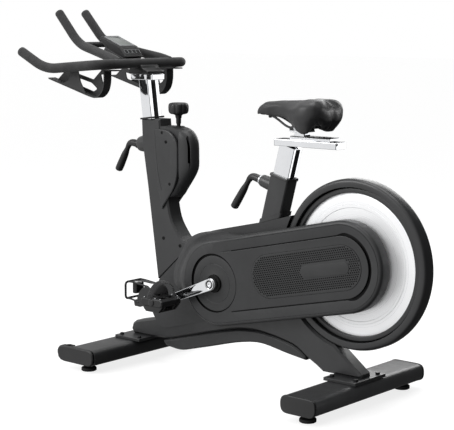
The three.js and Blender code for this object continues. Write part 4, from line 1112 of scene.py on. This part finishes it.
def saddle_pad():
    rows, steps = len(OUTLINE), 19
    points = [saddle_point(i, k) for i in range(rows) for k in range(steps)]
    mesh = bpy.data.meshes.new("saddle_pad")
    mesh.from_pydata([tuple(V(*p)) for p in points], [], grid_faces(rows, steps))
    bm = bmesh.new()
    bm.from_mesh(mesh)
    bmesh.ops.remove_doubles(bm, verts=bm.verts, dist=0.0008)
    bmesh.ops.dissolve_degenerate(bm, edges=bm.edges, dist=1e-6)
    bmesh.ops.holes_fill(bm, edges=[e for e in bm.edges if e.is_boundary], sides=0)
    bmesh.ops.recalc_face_normals(bm, faces=bm.faces)
    bm.to_mesh(mesh)
    bm.free()
    return link("saddle_pad", mesh)


PAD_GRID, SWELL_LIMIT = 0.0045, 0.004      # metres
CLOTH_FRAMES = 16


def settle(pad):
    """Remeshes the pad; a short cloth pass then softens the crown and pulls in the sides."""
    mod = pad.modifiers.new("grid", "REMESH")
    mod.mode, mod.voxel_size, mod.adaptivity = "VOXEL", PAD_GRID, 0.0
    dg = bpy.context.evaluated_depsgraph_get()
    mesh = bpy.data.meshes.new_from_object(pad.evaluated_get(dg))
    pad.modifiers.clear()
    pad.data = mesh
    rest = np.empty(len(mesh.vertices) * 3)
    mesh.vertices.foreach_get("co", rest)
    rest = rest.reshape(-1, 3)
    low = 0.5 * (rest[:, 2].min() + rest[:, 2].max())
    group = pad.vertex_groups.new(name="base")
    group.add([int(i) for i in np.nonzero(rest[:, 2] < low - 0.012)[0]], 1.0, "REPLACE")
    cloth = pad.modifiers.new("cloth", "CLOTH")
    s = cloth.settings
    s.quality, s.mass = 6, 0.3
    s.tension_stiffness = s.compression_stiffness = s.shear_stiffness = 25
    s.bending_stiffness = 4
    s.use_pressure, s.uniform_pressure_force = True, 3.0
    s.effector_weights.gravity = 0
    s.vertex_group_mass = "base"
    s.pin_stiffness = 1.0
    scene = bpy.context.scene
    cloth.point_cache.frame_start, cloth.point_cache.frame_end = 1, CLOTH_FRAMES
    for number in range(1, CLOTH_FRAMES + 1):
        scene.frame_set(number)
    dg = bpy.context.evaluated_depsgraph_get()
    done = bpy.data.meshes.new_from_object(pad.evaluated_get(dg))
    moved = np.empty(len(done.vertices) * 3)
    done.vertices.foreach_get("co", moved)
    moved = moved.reshape(-1, 3)
    step = moved - rest
    reach = np.linalg.norm(step, axis=1)
    step *= (np.minimum(reach, SWELL_LIMIT) / np.maximum(reach, 1e-9))[:, None]
    pad.modifiers.clear()
    pad.vertex_groups.clear()
    pad.data = done
    done.vertices.foreach_set("co", (rest + step).ravel())
    done.update()
    scene.frame_set(1)


pad = saddle_pad()
settle(pad)
soft = pad.modifiers.new("smooth", "SMOOTH")
soft.factor, soft.iterations = 0.5, 4
fine = pad.modifiers.new("fine", "SUBSURF")
fine.levels = fine.render_levels = 1
finish_piece(pad, VINYL, "saddle_set", "saddle_vinyl", replaces=("saddle",), angle=180)


def strip(name, first, last, lines, lift, material, slot):
    """A thin skin that follows the pad between two places on its outline."""
    top_rows, base_rows = [], []
    for i in range(first, last + 1):
        upper, lower = [], []
        for n, k in enumerate(lines):
            whole = int(math.floor(k))
            part = k - whole
            p = saddle_point(i, whole).lerp(saddle_point(i, min(whole + 1, 17)), part)
            q = saddle_point(i + 1, whole).lerp(saddle_point(i + 1, min(whole + 1, 17)), part)
            along = (q - p).normalized()
            upper_next = saddle_point(i, min(whole + 1, 17))
            normal = along.cross((upper_next - saddle_point(i, whole)).normalized())
            if normal.dot(p - Vector((300, 0, 850))) < 0:
                normal = -normal
            edge_fall = 0.2 if n in (0, len(lines) - 1) or i in (first, last) else 1.0
            upper.append(tuple(p + normal * lift * edge_fall))
            lower.append(tuple(p - normal * 2.5))
        top_rows.append(upper)
        base_rows.append(lower)
    count = len(lines)
    points = [p for row in top_rows for p in row] + [p for row in base_rows for p in row]
    half = len(top_rows) * count
    faces = []
    for i in range(len(top_rows) - 1):
        for k in range(count - 1):
            a, b = i * count + k, (i + 1) * count + k
            faces.append([a, b, b + 1, a + 1])
            faces.append([half + a, half + a + 1, half + b + 1, half + b])
        for k in (0, count - 1):
            a, b = i * count + k, (i + 1) * count + k
            faces.append([a, half + a, half + b, b])
    last_row = (len(top_rows) - 1) * count
    for k in range(count - 1):
        for row in (0, last_row):
            faces.append([row + k, row + k + 1, half + row + k + 1, half + row + k])
    return solid(name, points, faces, material, "saddle_set", slot, angle=45)


strip("saddle_bumper", 72, 109, [10.6, 11.2, 12, 13, 13.6, 14.2, 15.1], 1.4, BLACK, "black_plastic")
refine("saddle_base", BLACK, "black_plastic", 0.8)
for side, s in SIDES:
    rail = smooth_path([(388, s * 50, 842), (352, s * 30, 818), (318, s * 22, 811.2), (250, s * 22, 811.2),
                        (196, s * 16, 840), (150, s * 6, 850)], 22, 10, 10.0)
    sweep(f"{side}_saddle_rail", rail, 3.5, DARK_STEEL, "saddle_set", "dark_steel", 16, dome=0.4,
          replaces=("saddle_rails",) if s < 0 else ())
clamp = rounded([(260, 803), (310, 803), (310, 813), (300, 819), (270, 819), (260, 813)], 3, 4)
plate("saddle_clamp", [clamp], -30, 30, BLACK, "saddle_set", "black_plastic", 1.5)
for s in (-1, 1):
    bolt(f"clamp_nut_{'l' if s < 0 else 'r'}", (285, s * 29.6, 811), (0, s, 0), 6.5, 5, "saddle_set",
         material=BOLT)
bolt("nose_bolt", (163, 0, 845), (0, 0, -1), 5.5, 9, "saddle_set", "cap")


# ---------------------------------------------------------------- handlebar
def frame_ring(name, place, outer, inner, low, high, material, body, slot, **options):
    """A rectangular frame: two matching outlines joined at two heights."""
    lip = 0.4
    loops = [(outer, low), (outer, high - lip), ([(u * 0.985, v * 0.985) for u, v in outer], high),
             ([(u * 1.015, v * 1.015) for u, v in inner], high), (inner, high - lip), (inner, low)]
    points = [place(u, v, w) for outline, w in loops for u, v in outline]
    faces = tube_faces(len(loops), len(outer), closed=True)
    return solid(name, points, faces, material, body, slot, **options)


post_at = tilted(-342, 872, 7.5)
post_low, post_high = (505 - 872), (944 - 872)
bar_piece("front_post_bar", post_at, [(post_low, band(18.5, 24.5, 4)), (post_low + 1.5, band(20, 26, 4)),
                                      (post_high, band(20, 26, 4))], CHROME, BAR, "chrome_bright",
          replaces=("front_post",), angle=30)
# A black band down the middle of the post's rear face: painted dark reflection on the chrome.
bar_piece("front_post_reflection", post_at, [(w, [(u + 20.2, v) for u, v in band(0.5, 10, 0.4,
                                                                             2)]) for w in (-360, 64)],
          *BAR_BLACK, angle=30)
head = rounded([(-404, 937), (-305, 937), (-305, 956), (-404, 956)], 3, 5)
plate("head_block", [head], -28, 28, CHROME, BAR, "chrome_bright", 1.6)
lip_out, lip_in = band(28, 30.6, 5), band(20.6, 26.6, 4)
frame_ring("column_lip", tilted(-342, 872, 7.5), lip_out, lip_in, -62, -56.5, *FRAME_BLACK, angle=40)

bar_path = smooth_path([(-742, -200, 1025), (-627, -200, 970), (-485, -200, 981), (-365, -200, 990),
                        (-365, 200, 990), (-485, 200, 981), (-627, 200, 970), (-742, 200, 1025)], 52, 16, 8.0)
sweep("handlebar_foam", bar_path, 16, FOAM, BAR, "grip_foam", 36, dome=0.28, replaces=("handlebar",))
for side, s in SIDES:
    end, inner = (bar_path[0], bar_path[1]) if s < 0 else (bar_path[-1], bar_path[-2])
    cap = [(14.6, -3), (14.8, 3.6), (13.6, 5.0), (9, 5.4), (0, 5.4)]
    lathe(f"{side}_horn_cap", cap, end, end - inner, *BAR_BLACK, 40, angle=40)
    rest = smooth_path([(-708, s * 60, 1152), (-613, s * 62, 1050), (-500, s * 86, 1026),
                        (-398, s * 112, 1005), (-368, s * 119, 995)], 46, 14, 9.0)
    sweep(f"{side}_rest_grip", rest, 15, FOAM, BAR, "grip_foam", 32, dome=0.3,
          replaces=("aero_bars",) if s < 0 else ())
    cap = [(13.6, -3), (13.8, 3.4), (12.6, 4.6), (8, 5.0), (0, 5.0)]
    lathe(f"{side}_rest_cap", cap, rest[0], rest[0] - rest[1], *BAR_BLACK, 40, angle=40)
sweep("rest_bridge", [Vector((-596, y, 1047)) for y in range(-60, 61, 12)], 9.6, PAINT, BAR, "frame_paint",
      28, dome=0)
clamp = rounded([(-402, 956.4), (-314, 956.4), (-314, 966), (-338, 973), (-346, 986), (-384, 986),
                 (-393, 976), (-402, 970)], 5, 5)
plate("bar_clamp", [clamp], -40, 40, *BAR_BLACK, 2.4)
arm = rounded([(-372, 991), (-372, 1001), (-422, 1001.5), (-470, 1020), (-470, 1011), (-424, 990)], 3, 4)
plate("console_arm", [arm], -24, 24, *BAR_BLACK, 1.4)

refine("console_housing", BLACK, "black_plastic", 1.8, segments=3)
face_at = tilted(-482, 1059.6, -20.5)
frame_ring("console_bezel", face_at, band(42.5, 34, 6), band(35.6, 27.4, 2.2), -0.5, 1.5, GREY, BAR,
           "grey_panel", angle=40)
bar_piece("console_window", face_at, [(-1.2, band(35.9, 27.7, 1.5)), (0.5, band(35.9, 27.7, 1.5)),
                                      (0.75, band(35.4, 27.2, 1.5))], LCD, BAR, "screen_glass",
          replaces=("console_screen",), angle=30)
key_at = tilted(-424.5, 1027, -49.8)
for i, y in enumerate((-27, -9, 9, 27)):
    shift = lambda u, v, w, y=y: key_at(u, v + y, w)
    key = [(-2.4, band(5.6, 5.1, 1.4)), (1.5, band(6.0, 5.5, 1.6)), (2.1, band(5.3, 4.8, 1.4)),
           (2.3, band(4.2, 3.7, 1.2))]
    bar_piece(f"key_{i + 1}", shift, key, RUBBER, f"button_{i + 1}", "black_rubber",
              replaces=(f"console_button_{i + 1}",), angle=30)
    frame_ring(f"key_frame_{i + 1}", shift, band(8.2, 7.9, 1.8), band(6.7, 6.2, 1.4), -0.4, 0.9, GREY, BAR,
               "grey_panel", angle=40)

# dumbbell holders with a perforated tray
for side, s in SIDES:
    tray = refine(f"{side}_holder", HOLDER, "frame_paint", 0.5, segments=2)
    run = Vector((203, 0, -54.5)).normalized()
    up = Vector((54.5, 0, 203)).normalized()
    points, faces = [], []
    for row in range(3):
        for col in range(13):
            centre = Vector((-650, s * (137 + 9 * row),
                             934.3)) + run * (8 + 13.5 * col + (6.7 if row % 2 else 0))
            start = len(points)
            for h in (-9, 9):
                for k in range(10):
                    angle = 2 * math.pi * k / 10
                    q = centre + up * h + run * 3.0 * math.cos(angle) + Vector((0, 3.0 * math.sin(angle), 0))
                    points.append(tuple(V(*q)))
            faces += [[start + v for v in face] for face in slab_faces(10)]
    mesh = bpy.data.meshes.new("tray_holes")
    mesh.from_pydata(points, [], faces)
    holes_cutter = link("tray_holes", mesh)
    outward(mesh)
    carve(tray, holes_cutter)
    resurface(tray, HOLDER)


# ---------------------------------------------------------------- cranks and pedals
def taper(a, ra, b, rb, count=20):
    """The outline of a belt round two circles of unequal size."""
    ax, az = a
    bx, bz = b
    head = math.atan2(bz - az, bx - ax)
    spread = math.acos((ra - rb) / math.hypot(bx - ax, bz - az))
    points = []
    for (x, z), r, start, turn in ((b, rb, head - spread, 2 * spread),
                                   (a, ra, head + spread, 2 * math.pi - 2 * spread)):
        for k in range(count + 1):
            angle = start + turn * k / count
            points.append((x + r * math.cos(angle), z + r * math.sin(angle)))
    return points


DROP = math.radians(22)       # how far the cranks stand from level
CRANK_REACH = 170.0


def crank_side(side, s):
    reach = CRANK_REACH * s
    end = (reach * math.cos(DROP), CRANK_Z + reach * math.sin(DROP))
    start = (0.0, CRANK_Z)
    low, high = sorted((s * 95, s * 81))
    plate(f"{side}_crank", [taper(start, 19, end, 13.5)], low, high, *CRANK_CHROME, 2.6,
          replaces=(f"{side}_crank_arm",), angle=34)
    out = (0, s, 0)
    hub = [(17.6, -2), (17.6, 2.4), (16.6, 3.8), (14.6, 4.2), (13.4, 3.4), (13, 1.0), (9.4, 0.8), (9.2, 3.0),
           (8.2, 4.0), (4.4, 4.2), (4.2, 2.2), (0, 2.2)]
    lathe(f"{side}_crank_hub", hub, (0, s * 95, CRANK_Z), out, *CRANK_CHROME, 72, angle=30)
    dark = [(13.2, 0), (13.2, 1.5), (9.2, 1.5), (9.2, 0), (13.2, 0)]
    lathe(f"{side}_hub_ring", dark, (0, s * 95, CRANK_Z), out, DEEP, "crank", "dark_steel", 64, angle=30)
    neck = [(0, -4), (15.5, -4), (15.5, 5.6), (0, 5.6)]
    lathe(f"{side}_hub_neck", neck, (0, s * 75.6, CRANK_Z), out, DEEP, "crank", "dark_steel", 56, angle=30)
    shaft = [(0, 0), (6.4, 0), (6.4, 8), (10.4, 9), (10.4, 12), (9.6, 12.6), (9.6, 16), (6.4, 16.4),
             (6.4, 98), (5.2, 99.4), (0, 99.6)]
    lathe(f"{side}_pedal_shaft", shaft, (end[0], s * 84, end[1]), out, BOLT, "crank", "dark_steel", 40,
          angle=35)
    boss = [(0, 0), (9.4, 0), (9.4, 1.1), (8.6, 1.7), (5, 1.7), (4.6, 0.8), (0, 0.8)]
    lathe(f"{side}_pedal_boss", boss, (end[0], s * 80.8, end[1]), (0, -s, 0), *CRANK_CHROME, 40, angle=30)
    return end


def pedal_side(side, s, end):
    """A caged pedal with a moulded toe cup, a wire front loop and a buckled strap."""
    ex, ez = end
    body = f"{side}_pedal_set"
    black, steel = (BLACK, body, "black_plastic"), (DARK_STEEL, body, "dark_steel")
    webbed = (STRAP, body, "strap_web")
    refine(f"{side}_pedal", BLACK, "black_plastic", 1.4, segments=3)
    at = lambda x, y, z: (ex + x, s * y, ez + z)
    for i, y in enumerate((112, 128, 174, 189)):
        rail = rounded([(-43, -11), (-33, -27), (30, -27), (43, -11), (43, -9), (-43, -9)], 4, 4)
        low, high = sorted((s * (y - 2.5), s * (y + 2.5)))
        plate(f"{side}_pedal_keel_{i + 1}", [[(ex + x, ez + z) for x, z in rail]], low, high, *black, 0.8)
    low, high = sorted((s * 111, s * 190))
    foot = rounded([(-30, -31), (26, -31), (29, -26), (-33, -26)], 2, 4)
    plate(f"{side}_pedal_sole", [[(ex + x, ez + z) for x, z in foot]], low, high, *black, 0.8)
    cap = [(0, 4), (8, 4), (10.6, 3), (11.4, 1.4), (11.4, -1)]
    lathe(f"{side}_pedal_cap", cap[::-1], at(0, 195.6, 0), (0, s, 0), *black, 40, angle=40)
    for i, x in enumerate((-34, -12, 12, 34)):
        for j, y in enumerate((112, 190)):
            pin = [(2.2, -1), (2.2, 2.2), (1.6, 2.8), (0, 2.8)]
            lathe(f"{side}_pedal_pin_{i + 1}_{j + 1}", pin, at(x, y, 12.6), (0, 0, 1), BOLT, body,
                  "dark_steel", 12, angle=35)
    # cup walls, leaning in with height and towards the toes
    wall = rounded([(-8, -6), (0, 22, 14), (-12, 44, 16), (-32, 49, 16), (-58, 34, 14), (-70, 8), (-66, -16),
                    (-50, -20)], 5, 6)
    for tag, y, lean in (("outer", 190, -0.24), ("inner", 112, 0.24)):
        pts = []
        for thick in (-1.6, 1.6):
            for x, z in wall:
                inward = lean * max(0.0, z) * 0.6 + (lean * 22) * ease((-x - 20) / 80)
                pts.append(at(x, y + inward + thick, z))
        solid(f"{side}_cup_{tag}_wall", pts, slab_faces(len(wall)), *black, bevel=0.8, angle=40,
              replaces=(f"{side}_toe_cage",) if tag == "outer" else ())
    toe = [(-88, 124, -24), (-88, 182, -24), (-92, 182, -4), (-92, 124, -4)]
    base = [at(x, y, z) for x, y, z in toe] + [at(x + 26, y, z - 1) for x, y, z in toe]
    solid(f"{side}_cup_toe", base, [[0, 1, 2, 3], [7, 6, 5, 4], [0, 4, 5, 1], [1, 5, 6, 2], [2, 6, 7, 3],
                                    [3, 7, 4, 0]], *black, bevel=3.0, segments=3)
    # wire loop across the toes, carried by two wires on each side
    corner = [(-118, 112, -2), (-118, 190, -2), (-118, 190, 51), (-118, 112, 51)]
    loop = []
    for i, c in enumerate(corner):
        here = Vector(c)
        back, ahead = Vector(corner[i - 1]), Vector(corner[(i + 1) % 4])
        p, q = here + (back - here).normalized() * 11, here + (ahead - here).normalized() * 11
        loop += [p.lerp(here, t / 6).lerp(here.lerp(q, t / 6), t / 6) for t in range(7)]
    loop.append(loop[0])
    loop.append(loop[1])
    sweep(f"{side}_toe_wire", [Vector(at(*p)) for p in loop], 3.6, *steel, 14, dome=0)
    for i, (y, z0, x1, z1) in enumerate(((186, -2, -62, -8), (116, -2, -62, -8), (178, 51, -30, 45),
                                         (124, 51, -30, 45))):
        wire = smooth_path([at(-118, y, z0), at(-100, y, z0 + 1), at(x1, y, z1)], 8, 6, 8.0)
        sweep(f"{side}_side_wire_{i + 1}", wire, 3.0, *steel, 12, dome=0.3)
    buckle = rounded([(-112, 12), (-94, 12), (-94, 46), (-112, 46)], 5, 5)
    low, high = sorted((s * 137, s * 165))
    plate(f"{side}_buckle", [[(ex + x, ez + z) for x, z in buckle]], low, high, *black, 2.0)
    over = smooth_path([at(-14, 193.5, 6), at(2, 191, 40), at(8, 172, 60), at(8, 132, 60), at(14, 110, 44),
                        at(18, 108, 8)], 20, 10, 6.0)
    sweep(f"{side}_strap", over, 2.0, *webbed, 12, dome=0.2, flat=((1, 0, 0), 6.0), angle=60)
    tail = smooth_path([at(-114, 151, 50), at(-70, 151, 55), at(-24, 151, 52), at(8, 151, 61)], 24, 8, 6.0)
    sweep(f"{side}_strap_lead", tail, 1.9, *webbed, 12, dome=0.2, flat=((0, 1, 0), 6.0), angle=60)


for side, s in SIDES:
    pedal_side(side, s, crank_side(side, s))


# ---------------------------------------------------------------- stage, light and camera
def world():
    """White all round, darker towards the far right, and plain white where the background shows."""
    back = bpy.data.worlds.new("studio")
    bpy.context.scene.world = back
    back.use_nodes = True
    tree = back.node_tree
    tree.nodes.clear()
    new = tree.nodes.new
    coord, dot, ramp = new("ShaderNodeTexCoord"), new("ShaderNodeVectorMath"), new("ShaderNodeMapRange")
    dot.operation = "DOT_PRODUCT"
    dot.inputs[1].default_value = Vector((-0.62, -0.66, 0.42)).normalized()
    tree.links.new(coord.outputs["Generated"], dot.inputs[0])
    tree.links.new(dot.outputs["Value"], ramp.inputs["Value"])
    ramp.interpolation_type = "SMOOTHSTEP"
    for key, number in (("From Min", -0.45), ("From Max", 0.55), ("To Min", WORLD_DARK),
                        ("To Max", WORLD_BRIGHT)):
        ramp.inputs[key].default_value = number
    light, seen = new("ShaderNodeBackground"), new("ShaderNodeBackground")
    tree.links.new(ramp.outputs["Result"], light.inputs["Strength"])
    seen.inputs["Color"].default_value = (1, 1, 1, 1)
    seen.inputs["Strength"].default_value = 1.0
    path, mix, out = new("ShaderNodeLightPath"), new("ShaderNodeMixShader"), new("ShaderNodeOutputWorld")
    tree.links.new(path.outputs["Is Camera Ray"], mix.inputs["Fac"])
    tree.links.new(light.outputs[0], mix.inputs[1])
    tree.links.new(seen.outputs[0], mix.inputs[2])
    tree.links.new(mix.outputs[0], out.inputs["Surface"])


def softbox(name, at, target, width, height, power, only=None):
    lamp = bpy.data.lights.new(name, "AREA")
    lamp.shape, lamp.size, lamp.size_y, lamp.energy = "RECTANGLE", width, height, power
    obj = link(name, lamp)
    obj.location = at
    obj.rotation_euler = (Vector(target) - Vector(at)).to_track_quat("-Z", "Y").to_euler()
    if only:
        lit = bpy.data.collections.new(name + "_lights")
        for piece in only:
            lit.objects.link(piece)
        obj.light_linking.receiver_collection = lit


WORLD_DARK, WORLD_BRIGHT = 0.09, 1.08
world()
softbox("key_box", (-1.6, -2.6, 2.4), (0, 0, 0.5), 2.0, 1.6, 60)
metal = [o for o in bpy.context.scene.objects if o.type == "MESH" and o.data.materials
         and o.data.materials[0] in (CHROME, BOLT, DISC)]
softbox("metal_card", (2.2, 2.4, 0.5), (0.1, 0, 0.7), 3.2, 3.0, 42, metal)
disc = [o for o in metal if o.data.materials[0] is DISC]
softbox("disc_card", (1.5, -2.4, 0.9), (HUB[0] * MM, 0, HUB[1] * MM), 1.2, 1.2, 16, disc)
softbox("saddle_card", (1.5, 1.6, 1.3), (0.4, 0, 0.87), 0.9, 0.7, 14, [pad])
softbox("far_box", (-0.7, 2.9, 1.7), (0, 0, 0.5), 2.0, 1.6, 34)
softbox("foot_card", (2.6, -0.3, 0.3), (0.5, 0, 0.05), 1.6, 0.5, 12,
        [bpy.data.objects["rear_stabilizer_tube"]])
softbox("top_box", (0.1, 0.2, 3.0), (0, 0, 0.4), 2.4, 1.6, 34)

ground = bpy.data.meshes.new("floor")
FLOOR_REACH, FLOOR_Z = 30.0, -0.0004
corners = [(x * FLOOR_REACH, y * FLOOR_REACH, FLOOR_Z) for x, y in ((-1, -1), (1, -1), (1, 1), (-1, 1))]
ground.from_pydata(corners, [], [[0, 1, 2, 3]])
floor = link("floor", ground)
pale = Nodes("pale_floor")
pale.shader.inputs["Base Color"].default_value = (0.3, 0.3, 0.3, 1)
pale.shader.inputs["Roughness"].default_value = 0.9
pale.shader.inputs["Specular IOR Level"].default_value = 0.1
pale.shader.inputs["Emission Color"].default_value = (1, 1, 1, 1)
pale.shader.inputs["Emission Strength"].default_value = 0.8
ground.materials.append(pale.material)
floor.visible_diffuse = False
floor.visible_glossy = False

TURN, PITCH = math.radians(40.7827), math.radians(8.0866)
FOCAL_PIXELS, PHOTO_WIDTH = 1395.1385, 454
lens = bpy.data.cameras.new("camera")
camera = link("camera", lens)
camera.location = (2.83745, -3.2998, 1.140)
look = Vector((-math.sin(TURN) * math.cos(PITCH), math.cos(TURN) * math.cos(PITCH), -math.sin(PITCH)))
camera.rotation_euler = look.to_track_quat("-Z", "Y").to_euler()
lens.sensor_width = 36.0
lens.lens = 36.0 * FOCAL_PIXELS / PHOTO_WIDTH
lens.clip_start, lens.clip_end = 0.1, 100
bpy.context.scene.camera = camera
bpy.context.scene.view_settings.view_transform = "Standard"
